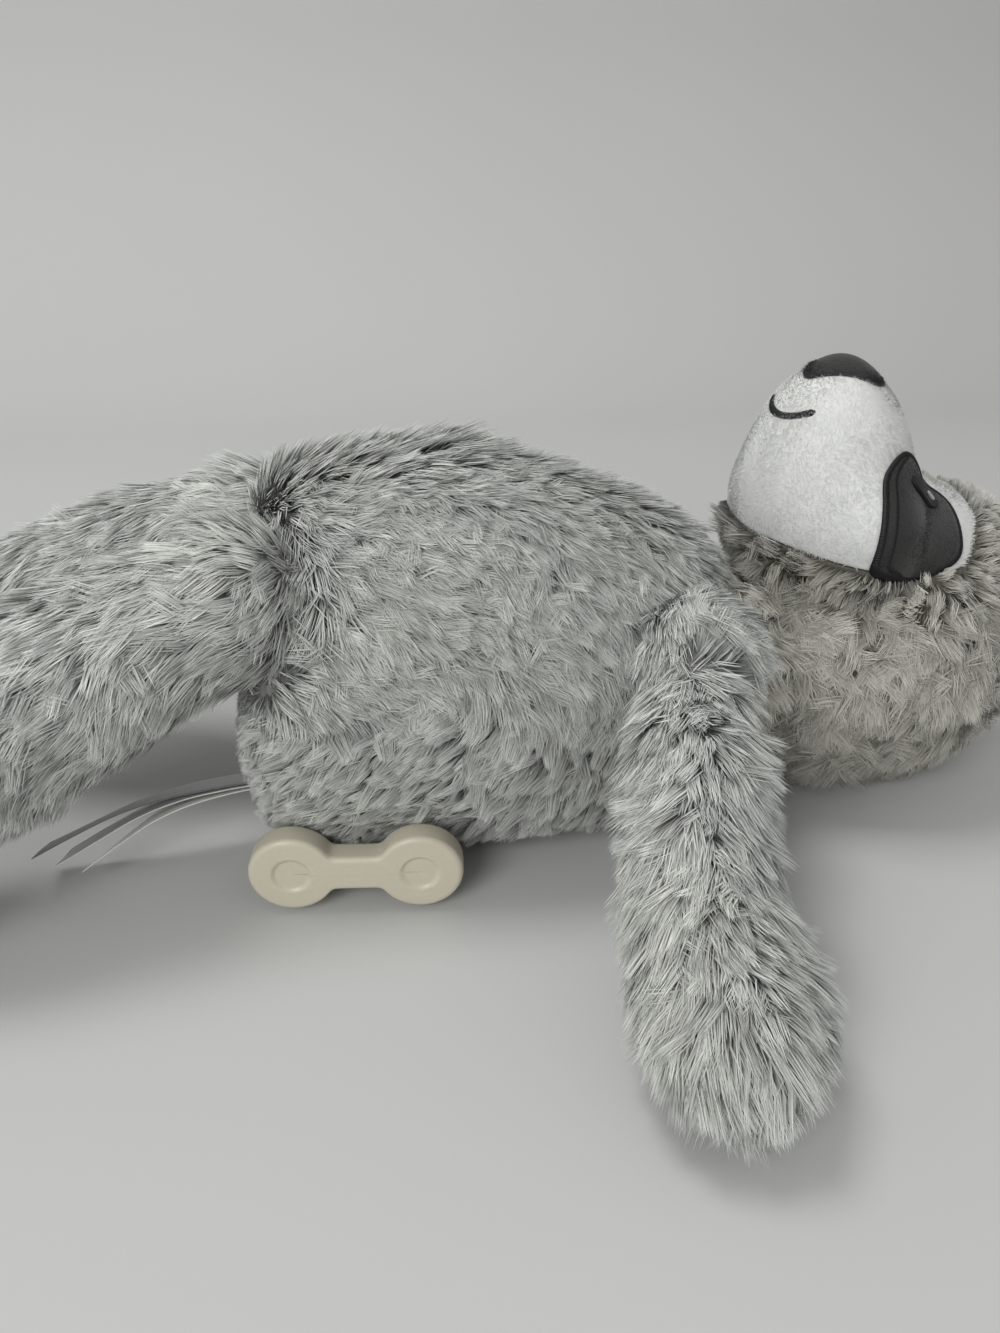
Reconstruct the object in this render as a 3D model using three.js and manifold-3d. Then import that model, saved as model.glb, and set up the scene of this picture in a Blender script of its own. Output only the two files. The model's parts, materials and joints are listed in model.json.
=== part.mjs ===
// Musical plush sloth with a pull cord, lying on its back.
// Millimetres, +Z up, +X along the spine to the head, -Y to the toy's left side.
// The origin is on the floor, in the flat that the torso rests on.

import * as THREE from 'three';
import { mergeVertices } from 'three/addons/utils/BufferGeometryUtils.js';
import Module from 'manifold-3d';

const wasm = await Module();
wasm.setup();

// Fits
const seamGap = 0.3;
const restFlat = 0.5;
const cutOverrun = 5;

// Fur fabric: backing and the packed foot of its pile
const coverThickness = 2.6;

// Torso
const torsoLength = 122;
const torsoWidth = 84;
const torsoHeight = 102;
const torsoRearX = -64;

// Neck and head
const neckProud = 2;
const neckZ = 42;
const neckRadius = 22;
const headLength = 87;
const headWidth = 72;
const headHeight = 87.5;
const headTurn = 12;
const napeTaperShare = 0.28;
const headReach = 49;
const muzzleLength = 41;
const muzzleWidth = 43;
const muzzleReach = 26;
const muzzleTopZ = 119.5;
const muzzleRootZ = 54;
const jawLength = 36;
const jawWidth = 66;
const jawHeight = 42;
const jawReach = 26;
const jawZ = 81;
const browLength = 40;
const browWidth = 56;
const browHeight = 48;
const browReach = 40;
const browZ = 67;
const faceSeamZ = 72.5;
const faceSeamTilt = 8;
const browSeamReach = 8;
const browSeamZ = 77;
const browSeamTilt = -36;

// Arms, which reach sideways and droop to the floor
const shoulderSetback = 18;
const shoulderY = 31;
const shoulderZ = 58;
const shoulderRadius = 15.5;
const armReach = 86;
const armHeadward = -8;
const armBow = -5;
const armWidth = 29;

// Legs, which reach rearwards and droop to the floor
const hipInset = 1;
const hipY = 23;
const hipZ = 76.5;
const hipRadius = 16.5;
const legReach = 124;
const legSplay = 32;
const legWidth = 38;

// Felt and embroidery on the face
const noseLength = 19;
const noseWidth = 21;
const noseThickness = 1.6;
const mouthRadius = 12;
const mouthThread = 1.8;
const mouthThickness = 0.8;
const mouthSpan = 96;
const mouthAim = 64;
const mouthDrop = 19;
const eyePatchLength = 33;
const eyePatchHeight = 29;
const eyePatchThickness = 1.2;
const eyePatchSetback = 12;
const eyePatchZ = 69.6;
const eyeAim = 35;
const eyeLength = 15;
const eyeWidth = 5;
const eyeSlope = 16;
const eyeCrownward = 3;
const eyeRise = 5.6;
const eyeThickness = 0.8;

// Pull handle: two round ends and a waist, dimpled on both faces
const handleReach = 31;
const handleDisc = 21;
const handleThickness = 7;
const handleWaist = 9.5;
const handleEdge = 1.2;
const handleDimple = 10;
const dimpleDepth = 0.7;
const handleYaw = 5;
const handleY = -40.5;
const handleZ = 12;

// Cord and its knot, which sits in a pocket in the handle's waist
const cordDiameter = 1.6;
const cordBore = 2.6;
const knotDiameter = 4;
const knotThickness = 2.2;

// Eyelet where the cord leaves the cover
const eyeletFlange = 8;
const eyeletFlangeThickness = 1;
const eyeletSleeve = 4.8;
const eyeletLength = 6;

// Musical movement in a round case on a vertical axis
const caseInset = 40;
const caseBottomZ = 10;
const caseRadius = 20;
const caseHeight = 22;
const caseWall = 1.5;
const runningGap = 0.3;

// Cord spool on the case floor
const spoolOffset = 4;
const spoolFlangeRadius = 13.4;
const spoolHubRadius = 9.4;
const spoolFlange = 1;
const spoolGroove = 2.6;
const spoolWall = 1.2;
const spoolAxleRadius = 1.5;
const windingDepth = 1.6;

// Spur gears: one on the spool, one on the governor
const gearModule = 0.8;
const spoolTeeth = 30;
const governorTeeth = 10;
const gearThickness = 1.2;
const toothHeightShare = 0.62;
const toothRootShare = 0.75;
const toothFootShare = 0.43;
const toothTipShare = 0.22;

// Mainspring strip inside the spool
const springStrip = 0.5;
const springWidth = 2.6;
const springTurns = 4;

// Bedplate over the spool, on two pillars
const bedplateThickness = 0.8;
const pillarRadius = 2.6;
const pillarReach = 15.8;
const pillarAngle = 65;

// Music cylinder between two uprights
const cylinderRadius = 3.4;
const cylinderLength = 17;
const cylinderPins = 12;
const pinTurnShare = 0.49;
const pinHeight = 0.4;
const pinWidth = 0.5;
const wheelRadius = 5;
const wheelThickness = 1.2;
const uprightThickness = 1;
const uprightWidth = 5;
const uprightCrest = 1.8;
const spindleRadius = 0.8;

// Comb
const combTeeth = 16;
const combLength = 13;
const combThickness = 0.9;
const combToothLength = 4.5;
const combToothGapShare = 0.4;
const combHeel = 5;
const combStandInset = 1;

// Governor
const fanRadius = 5.4;
const fanVane = 0.7;

// Screws
const screwRadius = 1;
const screwHeadRadius = 2;
const screwHeadHeight = 1.2;

// Care labels: three blank ribbons sewn into the rear seam
const labelWidth = 13;
const labelThickness = 0.6;
const labelPitch = 1;
const labelRootInset = 0.9;
const labelRootY = -14;
const labelRootZ = 23;
const labelReaches = [56, 51, 45];
const labelTipZ = 3;
const labelTipPitch = 4;
const labelDrift = -9;

// Facet counts
const torsoSides = 20;
const headSides = 18;
const headRows = 10;
const headRowCrowding = 1.3;
const creaseSharpness = 9;
const limbSides = 12;
const ballSides = 12;
const lathSides = 24;
const smallSides = 10;

// Torso outline from rear to neck: place along its length, half width, top and underside
const torsoShares = [
  [0, 0, 0.46, 0.46],
  [0.008, 0.5, 0.71, 0.22],
  [0.035, 0.76, 0.86, 0.09],
  [0.09, 0.9, 0.945, 0.025],
  [0.18, 0.965, 0.985, 0],
  [0.3, 0.99, 1, 0],
  [0.43, 1, 1, 0],
  [0.58, 0.98, 0.96, 0],
  [0.72, 0.9, 0.895, 0],
  [0.84, 0.78, 0.84, 0.005],
  [0.93, 0.61, 0.765, 0.05],
  [0.985, 0.38, 0.64, 0.16],
  [1, 0, 0.42, 0.42],
];

// Limb outlines from root to tip: place along the limb, half width
const armShares = [
  [0.14, 0.7], [0.3, 0.8], [0.45, 0.84], [0.6, 0.88],
  [0.74, 0.98], [0.85, 1], [0.93, 0.86], [0.98, 0.5], [1, 0],
];
const legShares = [
  [0.13, 0.76], [0.26, 0.92], [0.42, 0.98], [0.58, 0.95],
  [0.72, 0.96], [0.84, 1], [0.93, 0.88], [0.98, 0.52], [1, 0],
];

// Places round the ball at a limb's root, as shares of a half turn from its inner pole
const rootBallShares = [0.2, 0.4, 0.6, 0.75];

// Limb axes: share of the reach outwards, share of the drop to the floor and share of the bow
const armDroopShares = [[0, 0, 0], [0.3, 0.16, 0.7], [0.62, 0.6, 1], [1, 1, 0.2]];
const legDroopShares = [[0, 0, 0], [0.3, 0.24, 0], [0.6, 0.58, 0], [0.82, 0.86, 0], [1, 1, 0]];

// Nose patch outline as shares of its length and half width, from the mouth end round
const noseShares = [
  [-0.5, 0], [-0.42, 0.3], [-0.15, 0.7], [0.15, 0.96], [0.36, 0.86], [0.48, 0.5], [0.5, 0],
];

// Eye patch outline as shares of its length and height, from the tip by the muzzle round
const eyePatchShares = [
  [-0.1, 0.5], [0.13, 0.42], [0.36, 0.31], [0.5, 0.16], [0.47, -0.14], [0.35, -0.38],
  [0, -0.5], [-0.3, -0.5], [-0.48, -0.42], [-0.5, -0.3], [-0.42, 0.09], [-0.33, 0.34],
];

// Care label sag: share of the reach and share of the fall
const labelSagShares = [[0, 0], [0.2, 0.08], [0.4, 0.26], [0.6, 0.52], [0.8, 0.8], [1, 1]];

const group = new THREE.Group();
group.name = 'plush_sloth';

function surface(color, roughness, metalness) {
  return new THREE.MeshStandardMaterial({ color, roughness, metalness });
}

const fur = surface(0xb9b8b3, 0.95, 0);
const hoodFur = surface(0xb2b0aa, 0.95, 0);
const filling = surface(0xf1efe9, 1, 0);
const facePlush = surface(0xf0efec, 0.9, 0);
const darkPlush = surface(0x4f4f52, 0.9, 0);
const blackThread = surface(0x1c1d20, 0.7, 0);
const creamPlastic = surface(0xe4dece, 0.4, 0);
const whitePlastic = surface(0xe9e8e3, 0.5, 0);
const cordWhite = surface(0xeeeae0, 0.85, 0);
const satin = surface(0xe8e8e6, 0.45, 0);
const brass = surface(0xb99a55, 0.35, 0.9);
const steel = surface(0xa9abad, 0.35, 0.95);

// Solids

function solidOf(geometry) {
  const bare = geometry.clone();
  bare.deleteAttribute('normal');
  bare.deleteAttribute('uv');
  const merged = mergeVertices(bare);
  const vertProperties = new Float32Array(merged.attributes.position.array);
  const triVerts = new Uint32Array(merged.index.array);
  return new wasm.Manifold(new wasm.Mesh({ numProp: 3, vertProperties, triVerts }));
}

function geometryOf(solid) {
  const mesh = solid.getMesh();
  const geometry = new THREE.BufferGeometry();
  geometry.setAttribute('position', new THREE.BufferAttribute(mesh.vertProperties, mesh.numProp));
  geometry.setIndex(new THREE.BufferAttribute(mesh.triVerts, 1));
  geometry.computeVertexNormals();
  return geometry;
}

function addPiece(name, solid, material, parent = group) {
  const mesh = new THREE.Mesh(geometryOf(solid), material);
  mesh.name = name;
  parent.add(mesh);
}

// A box from its two corners
function block(low, high) {
  const size = high.clone().sub(low);
  const middle = low.clone().add(high).divideScalar(2);
  const geometry = new THREE.BoxGeometry(size.x, size.y, size.z);
  return solidOf(geometry.translate(middle.x, middle.y, middle.z));
}

function at(x, y, z) {
  return new THREE.Vector3(x, y, z);
}

// A round bar along Z
function barZ(radius, bottomZ, topZ, x, y) {
  const geometry = new THREE.CylinderGeometry(radius, radius, topZ - bottomZ, smallSides);
  geometry.rotateX(Math.PI / 2);
  return solidOf(geometry.translate(x, y, (bottomZ + topZ) / 2));
}

// A round bar along Y
function barY(radius, lowY, highY, x, z) {
  const geometry = new THREE.CylinderGeometry(radius, radius, highY - lowY, smallSides);
  return solidOf(geometry.translate(x, (lowY + highY) / 2, z));
}

// A round bar along X
function barX(radius, lowX, highX, y, z, sides = smallSides) {
  const geometry = new THREE.CylinderGeometry(radius, radius, highX - lowX, sides);
  geometry.rotateZ(Math.PI / 2);
  return solidOf(geometry.translate((lowX + highX) / 2, y, z));
}

// A turned solid on a vertical axis from [radius, height] points, closed on the axis or on themselves
function turnedZ(profile, x) {
  const points = profile.map(([radius, height]) => new THREE.Vector2(radius, height));
  const geometry = new THREE.LatheGeometry(points, lathSides).rotateX(Math.PI / 2);
  return solidOf(geometry.translate(x, 0, 0));
}

// A closed outline drawn in X and Y and raised between two heights
function raised(points, bottomZ, topZ) {
  const shape = new THREE.Shape(points.map(([x, y]) => new THREE.Vector2(x, y)));
  const geometry = new THREE.ExtrudeGeometry(shape, { depth: topZ - bottomZ, bevelEnabled: false });
  return solidOf(geometry.translate(0, 0, bottomZ));
}

function ball(radius, centre) {
  const geometry = new THREE.SphereGeometry(radius, ballSides, ballSides / 2);
  return solidOf(geometry.translate(centre.x, centre.y, centre.z));
}

// The pocket's flats stay one seam gap outside the ball, however its facets stand
function pocket(radius, centre) {
  const facetRise = Math.cos(Math.PI / ballSides) ** 2;
  return ball((radius + seamGap) / facetRise, centre);
}

// A closed skin over rings of points, with a tip at each end
function skinned(rings, firstTip, lastTip) {
  const sides = rings[0].length;
  const points = [firstTip, ...rings.flat(), lastTip];
  const last = points.length - 1;
  const pointAt = (row, side) => 1 + row * sides + (side % sides);
  const index = [];
  for (let side = 0; side < sides; side += 1) {
    index.push(0, pointAt(0, side + 1), pointAt(0, side));
    for (let row = 0; row + 1 < rings.length; row += 1) {
      index.push(pointAt(row, side), pointAt(row, side + 1), pointAt(row + 1, side));
      index.push(pointAt(row, side + 1), pointAt(row + 1, side + 1), pointAt(row + 1, side));
    }
    index.push(last, pointAt(rings.length - 1, side), pointAt(rings.length - 1, side + 1));
  }
  const geometry = new THREE.BufferGeometry().setFromPoints(points);
  geometry.setIndex(index);
  return solidOf(geometry);
}

// Everything above the floor
function aboveFloor(solid) {
  const span = torsoLength + legReach + headLength;
  return solid.subtract(block(at(-span, -span, -span), at(span, span, 0)));
}

// Places along the spine
const neckX = torsoRearX + torsoLength + neckProud;
const headX = neckX + headReach;
const muzzleX = neckX + muzzleReach;
const eyePatchX = headX - eyePatchSetback;
const mouthZ = muzzleTopZ - mouthDrop;
const shoulderX = neckX - shoulderSetback;
const hipX = torsoRearX + hipInset;
const caseX = torsoRearX + caseInset;

// Where the cord runs, and the turning axes inside the movement
const spoolX = caseX - spoolOffset;
const spoolBottomZ = caseBottomZ + caseWall + runningGap;
const grooveZ = spoolBottomZ + spoolFlange;
const cordZ = grooveZ + spoolGroove / 2;
const windingRadius = spoolHubRadius + windingDepth;
const cordX = spoolX - windingRadius - seamGap - cordDiameter / 2;

// Where the neck and the limbs are sewn on
const neck = at(neckX, 0, neckZ);
const sides = { left: -1, right: 1 };

function shoulderOf(side) {
  return at(shoulderX, side * shoulderY, shoulderZ);
}

function hipOf(side) {
  return at(hipX, side * hipY, hipZ);
}

// Torso

function torsoRing(x, z, halfWidth, halfHeight) {
  const points = [];
  for (let side = 0; side < torsoSides; side += 1) {
    const angle = 2 * Math.PI * side / torsoSides;
    points.push(at(x, halfWidth * Math.cos(angle), z + halfHeight * Math.sin(angle)));
  }
  return points;
}

function torsoForm(inset) {
  const middleX = torsoRearX + torsoLength / 2;
  const rings = torsoShares.slice(1, -1).map(([lengthShare, widthShare, topShare, undersideShare]) => {
    const x = middleX + (lengthShare - 1 / 2) * (torsoLength - 2 * inset);
    const top = topShare * torsoHeight - inset;
    const underside = undersideShare * torsoHeight - restFlat + inset;
    return torsoRing(x, (top + underside) / 2, widthShare * torsoWidth / 2 - inset, (top - underside) / 2);
  });
  const rearTip = at(torsoRearX + inset, 0, torsoShares[0][2] * torsoHeight);
  const neckTip = at(torsoRearX + torsoLength - inset, 0, torsoShares.at(-1)[2] * torsoHeight);
  return skinned(rings, rearTip, neckTip);
}

function rootPockets() {
  let pockets = pocket(neckRadius, neck);
  for (const side of Object.values(sides)) {
    pockets = pockets.add(pocket(shoulderRadius, shoulderOf(side)));
    pockets = pockets.add(pocket(hipRadius, hipOf(side)));
  }
  return pockets;
}

function makeTorso() {
  const pockets = rootPockets();
  const sleeveBore = barY(eyeletSleeve / 2 + seamGap, -torsoWidth, 0, cordX, cordZ);
  const cover = aboveFloor(torsoForm(0)).subtract(torsoForm(coverThickness));
  addPiece('torso_cover', cover.subtract(pockets).subtract(sleeveBore), fur);
  const nestRadius = caseRadius + seamGap;
  const nestBottom = caseBottomZ - seamGap;
  const nestTop = caseBottomZ + caseHeight + seamGap;
  const nestProfile = [[0, nestBottom], [nestRadius, nestBottom], [nestRadius, nestTop], [0, nestTop]];
  const nest = turnedZ(nestProfile, caseX);
  const stuffing = torsoForm(coverThickness + seamGap).subtract(pockets).subtract(nest);
  addPiece('torso_stuffing', stuffing.subtract(sleeveBore), filling);
}

// Head, drawn unturned and then turned about the neck

const headTurned = new THREE.Group();
headTurned.position.copy(neck);
headTurned.rotation.z = THREE.MathUtils.degToRad(headTurn);
group.add(headTurned);
const headGroup = new THREE.Group();
headGroup.position.copy(neck).negate();
headTurned.add(headGroup);

const skull = at(headX, 0, (headHeight - restFlat) / 2);
const skullRadii = at(headLength, headWidth, headHeight + restFlat).divideScalar(2);
const dome = at(muzzleX, 0, (muzzleTopZ + muzzleRootZ) / 2);
const domeRadii = at(muzzleLength, muzzleWidth, muzzleTopZ - muzzleRootZ).divideScalar(2);
const jaw = at(neckX + jawReach, 0, jawZ);
const jawRadii = at(jawLength, jawWidth, jawHeight).divideScalar(2);
const brow = at(neckX + browReach, 0, browZ);
const browRadii = at(browLength, browWidth, browHeight).divideScalar(2);
const headForms = [[skull, skullRadii], [dome, domeRadii], [jaw, jawRadii], [brow, browRadii]];
const headHeart = at(dome.x, 0, (skull.z + dome.z) / 2);

// Distance from the heart of the head to an ellipsoid's wall along a direction
function wallDistance(direction, centre, radii) {
  const start = headHeart.clone().sub(centre).divide(radii);
  const step = direction.clone().divide(radii);
  const quadratic = step.dot(step);
  const linear = start.dot(step);
  return (Math.sqrt(linear ** 2 - quadratic * (start.dot(start) - 1)) - linear) / quadratic;
}

// Skull, jaw, brow and muzzle dome run into each other, and the nape narrows towards the floor
function headPoint(polar, azimuth, inset) {
  const flat = Math.sin(polar);
  const direction = at(flat * Math.cos(azimuth), flat * Math.sin(azimuth), Math.cos(polar));
  let sum = 0;
  for (const [centre, radii] of headForms) {
    sum += wallDistance(direction, centre, radii) ** creaseSharpness;
  }
  const reach = sum ** (1 / creaseSharpness) - inset;
  const point = direction.multiplyScalar(reach).add(headHeart);
  const depthShare = Math.max(0, (skull.z - point.z) / skullRadii.z);
  point.y *= 1 - napeTaperShare * depthShare;
  return point;
}

function headForm(inset) {
  const rings = [];
  for (let row = headRows - 1; row > 0; row -= 1) {
    const polar = Math.PI * (row / headRows) ** headRowCrowding;
    const points = [];
    for (let side = 0; side < headSides; side += 1) {
      points.push(headPoint(polar, 2 * Math.PI * side / headSides, inset));
    }
    rings.push(points);
  }
  return skinned(rings, headPoint(Math.PI, 0, inset), headPoint(0, 0, inset));
}

// Everything above a sloping plane through one place on the head
function aboveSlope(x, z, tilt, lift) {
  const span = headLength + headHeight;
  const geometry = new THREE.BoxGeometry(span, span, span).translate(0, 0, span / 2 + lift);
  geometry.rotateY(THREE.MathUtils.degToRad(tilt));
  return solidOf(geometry.translate(x, 0, z));
}

// Everything above the seam between hood and face, which climbs steeply at the brow
function aboveFaceSeam(lift) {
  const cheeks = aboveSlope(headX, faceSeamZ, faceSeamTilt, lift);
  return cheeks.intersect(aboveSlope(headX + browSeamReach, browSeamZ, browSeamTilt, lift));
}

function makeHead() {
  const shell = aboveFloor(headForm(0));
  const hollow = headForm(coverThickness);
  const neckBall = ball(neckRadius, neck);
  const neckHollow = ball(neckRadius - coverThickness, neck);
  const hood = shell.add(neckBall).subtract(hollow.add(neckHollow)).subtract(aboveFaceSeam(0));
  addPiece('head_cover', hood, hoodFur, headGroup);
  const face = shell.subtract(hollow).intersect(aboveFaceSeam(seamGap));
  addPiece('face_panel', face, facePlush, headGroup);
  const neckCore = ball(neckRadius - coverThickness - seamGap, neck);
  const stuffing = headForm(coverThickness + seamGap).add(neckCore);
  addPiece('head_stuffing', stuffing, filling, headGroup);
}

// A layer that lies on the face, between two distances from it
function faceLayer(lift, thickness) {
  return headForm(-lift - thickness).subtract(headForm(-lift));
}

function makeNose() {
  const half = noseShares.map(([along, across]) => [muzzleX + along * noseLength, across * noseWidth / 2]);
  const mirrored = half.slice(1, -1).reverse().map(([x, y]) => [x, -y]);
  const outline = raised([...half, ...mirrored], (muzzleTopZ + dome.z) / 2, 2 * muzzleTopZ);
  addPiece('nose_patch', faceLayer(seamGap, noseThickness).intersect(outline), darkPlush, headGroup);
}

// An outline drawn square to an aim and swept outwards along it
function aimedPrism(shape, origin, up, outwards) {
  const options = { depth: muzzleTopZ, bevelEnabled: false, curveSegments: smallSides / 2 };
  const geometry = new THREE.ExtrudeGeometry(shape, options);
  const placed = new THREE.Matrix4().makeBasis(up.clone().cross(outwards), up, outwards);
  return solidOf(geometry.applyMatrix4(placed.setPosition(origin)));
}

function makeMouth() {
  const halfSpan = THREE.MathUtils.degToRad(mouthSpan) / 2;
  const down = -Math.PI / 2;
  const shape = new THREE.Shape();
  shape.absarc(0, mouthRadius, mouthRadius + mouthThread / 2, down - halfSpan, down + halfSpan, false);
  shape.absarc(0, mouthRadius, mouthRadius - mouthThread / 2, down + halfSpan, down - halfSpan, true);
  const aim = THREE.MathUtils.degToRad(mouthAim);
  const up = at(Math.cos(aim), 0, Math.sin(aim));
  const outwards = at(-Math.sin(aim), 0, Math.cos(aim));
  const smile = aimedPrism(shape, at(muzzleX, 0, mouthZ), up, outwards);
  addPiece('mouth_stitch', faceLayer(seamGap, mouthThickness).intersect(smile), blackThread, headGroup);
}

function makeEye(word, side) {
  const aim = THREE.MathUtils.degToRad(eyeAim);
  const up = at(0, -side * Math.sin(aim), Math.cos(aim));
  const outwards = at(0, side * Math.cos(aim), Math.sin(aim));
  const origin = at(eyePatchX, 0, eyePatchZ);
  const outline = new THREE.Shape(eyePatchShares.map(([along, rise]) => (
    new THREE.Vector2(-side * along * eyePatchLength, rise * eyePatchHeight)
  )));
  const patch = faceLayer(seamGap, eyePatchThickness).intersect(aimedPrism(outline, origin, up, outwards));
  addPiece(`eye_patch_${word}`, patch.intersect(aboveFaceSeam(coverThickness)), darkPlush, headGroup);
  const oval = new THREE.Shape();
  const slope = side * THREE.MathUtils.degToRad(eyeSlope);
  oval.absellipse(-side * eyeCrownward, eyeRise, eyeLength / 2, eyeWidth / 2, 0, 2 * Math.PI, false, slope);
  const lift = seamGap + eyePatchThickness + seamGap;
  const eye = faceLayer(lift, eyeThickness).intersect(aimedPrism(oval, origin, up, outwards));
  addPiece(`eye_${word}`, eye, blackThread, headGroup);
}

// Limbs

// A limb is a ball sewn into the torso, then a tube that droops to the floor
function limbOf(root, rootRadius, outward, reach, bow, droopShares, shares, width) {
  const drop = root.z - width / 2 + restFlat;
  const axis = droopShares.map(([outShare, dropShare, bowShare]) => (
    root.clone().addScaledVector(outward, outShare * reach).add(at(bowShare * bow, 0, -dropShare * drop))
  ));
  const curve = new THREE.CatmullRomCurve3(axis);
  const tube = shares.map(([share, widthShare]) => ({
    share,
    point: curve.getPointAt(share),
    tangent: curve.getTangentAt(share),
    radius: widthShare * width / 2,
  }));
  return { root, rootRadius, tangent: curve.getTangentAt(0), tube };
}

function limbRing(middle, tangent, radius) {
  const across = at(0, 0, 1).cross(tangent).normalize();
  const up = tangent.clone().cross(across);
  const points = [];
  for (let side = 0; side < limbSides; side += 1) {
    const angle = 2 * Math.PI * side / limbSides;
    const point = middle.clone().addScaledVector(across, radius * Math.cos(angle));
    points.push(point.addScaledVector(up, radius * Math.sin(angle)));
  }
  return points;
}

// A place behind the limb's root, on a ball drawn in by an inset
function rootPoint(limb, inset, angle) {
  return limb.root.clone().addScaledVector(limb.tangent, (inset - limb.rootRadius) * Math.cos(angle));
}

// A place along the tube, drawn back from the tip by its share of an inset
function tubePoint({ point, tangent, share }, inset) {
  return point.clone().addScaledVector(tangent, -share * inset);
}

function limbForm(limb, inset) {
  const rootRings = rootBallShares.map((share) => {
    const angle = Math.PI * share;
    const radius = (limb.rootRadius - inset) * Math.sin(angle);
    return limbRing(rootPoint(limb, inset, angle), limb.tangent, radius);
  });
  const tubeRings = limb.tube.slice(0, -1).map((station) => (
    limbRing(tubePoint(station, inset), station.tangent, station.radius - inset)
  ));
  return skinned([...rootRings, ...tubeRings], rootPoint(limb, inset, 0), tubePoint(limb.tube.at(-1), inset));
}

function makeLimb(name, limb) {
  const inner = rootPoint(limb, 0, 0);
  const half = coverThickness + seamGap;
  const mouth = block(inner.clone().subScalar(half), inner.clone().addScalar(half));
  const shell = aboveFloor(limbForm(limb, 0)).subtract(limbForm(limb, coverThickness));
  addPiece(`${name}_cover`, shell.subtract(mouth), fur);
  addPiece(`${name}_stuffing`, limbForm(limb, coverThickness + seamGap), filling);
}

function makeArm(word, side) {
  const root = shoulderOf(side);
  const outward = at(armHeadward / armReach, side, 0);
  const arm = limbOf(root, shoulderRadius, outward, armReach, armBow, armDroopShares, armShares, armWidth);
  makeLimb(`arm_${word}`, arm);
}

function makeLeg(word, side) {
  const root = hipOf(side);
  const outward = at(-1, side * legSplay / legReach, 0);
  const leg = limbOf(root, hipRadius, outward, legReach, 0, legDroopShares, legShares, legWidth);
  makeLimb(`leg_${word}`, leg);
}

// Care labels

function makeLabel(number) {
  const reach = labelReaches[number];
  const root = at(torsoRearX + labelRootInset, labelRootY, labelRootZ - number * labelPitch);
  const tipZ = labelTipZ + (labelReaches.length - 1 - number) * labelTipPitch;
  const rings = labelSagShares.map(([along, fall]) => {
    const x = root.x - along * reach;
    const y = root.y + along * labelDrift;
    const z = root.z - fall * (root.z - tipZ);
    return [
      at(x, y - labelWidth / 2, z),
      at(x, y + labelWidth / 2, z),
      at(x, y + labelWidth / 2, z - labelThickness),
      at(x, y - labelWidth / 2, z - labelThickness),
    ];
  });
  const middleOf = (ring) => ring[0].clone().add(ring[2]).divideScalar(2);
  addPiece(`care_label_${number + 1}`, skinned(rings, middleOf(rings[0]), middleOf(rings.at(-1))), satin);
}

// Pull cord, its eyelet and its handle

const handleMiddle = at(cordX, handleY, handleZ);

function makeHandle() {
  const radius = handleDisc / 2;
  const half = handleReach / 2;
  const meet = Math.asin(handleWaist / handleDisc);
  const shape = new THREE.Shape();
  shape.absarc(half, 0, radius, -Math.PI + meet, Math.PI - meet, false);
  shape.absarc(-half, 0, radius, meet, 2 * Math.PI - meet, false);
  const geometry = new THREE.ExtrudeGeometry(shape, {
    depth: handleThickness - 2 * handleEdge,
    bevelThickness: handleEdge,
    bevelSize: handleEdge,
    bevelOffset: -handleEdge,
    bevelSegments: 1,
    curveSegments: lathSides / 2,
  });
  geometry.translate(0, 0, handleEdge - handleThickness / 2).rotateX(Math.PI / 2);
  let handle = solidOf(geometry);
  for (const end of [-half, half]) {
    for (const face of [-handleThickness / 2, handleThickness / 2]) {
      handle = handle.subtract(barY(handleDimple / 2, face - dimpleDepth, face + dimpleDepth, end, 0));
    }
  }
  const knotZ = cordZ - handleZ;
  const pocketHalf = knotDiameter / 2 + seamGap;
  const pocketDepth = knotThickness / 2 + seamGap;
  const pocketLow = at(-pocketHalf, -pocketDepth, knotZ - pocketHalf);
  const knotPocket = block(pocketLow, at(pocketHalf, pocketDepth, handleDisc));
  handle = handle.subtract(knotPocket).subtract(barY(cordBore / 2, 0, handleThickness, 0, knotZ));
  const mesh = new THREE.Mesh(geometryOf(handle), creamPlastic);
  mesh.name = 'pull_handle';
  mesh.position.copy(handleMiddle);
  mesh.rotation.z = -THREE.MathUtils.degToRad(handleYaw);
  group.add(mesh);
}

// The eyelet's flange rests on the cover's outermost point under it
function eyeletSeatY() {
  const path = barY(eyeletFlange / 2, -torsoWidth, 0, cordX, cordZ);
  const { position } = geometryOf(torsoForm(0).intersect(path)).attributes;
  let seat = 0;
  for (let corner = 0; corner < position.count; corner += 1) {
    seat = Math.min(seat, position.getY(corner));
  }
  return seat - seamGap;
}

function makeCord() {
  const knotFront = handleY + knotThickness / 2;
  const knot = barY(knotDiameter / 2, knotFront - knotThickness, knotFront, cordX, cordZ);
  addPiece('cord_knot', knot, cordWhite);
  addPiece('pull_cord', barY(cordDiameter / 2, knotFront + seamGap, 0, cordX, cordZ), cordWhite);
  const eyeletY = eyeletSeatY();
  const flangeY = eyeletY - eyeletFlangeThickness;
  const flange = barY(eyeletFlange / 2, flangeY, eyeletY, cordX, cordZ);
  const sleeve = barY(eyeletSleeve / 2, flangeY, eyeletY + eyeletLength, cordX, cordZ);
  const bore = barY(cordBore / 2, flangeY - eyeletLength, eyeletY + 2 * eyeletLength, cordX, cordZ);
  addPiece('cord_eyelet', flange.add(sleeve).subtract(bore), whitePlastic);
}

// Musical movement

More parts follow.
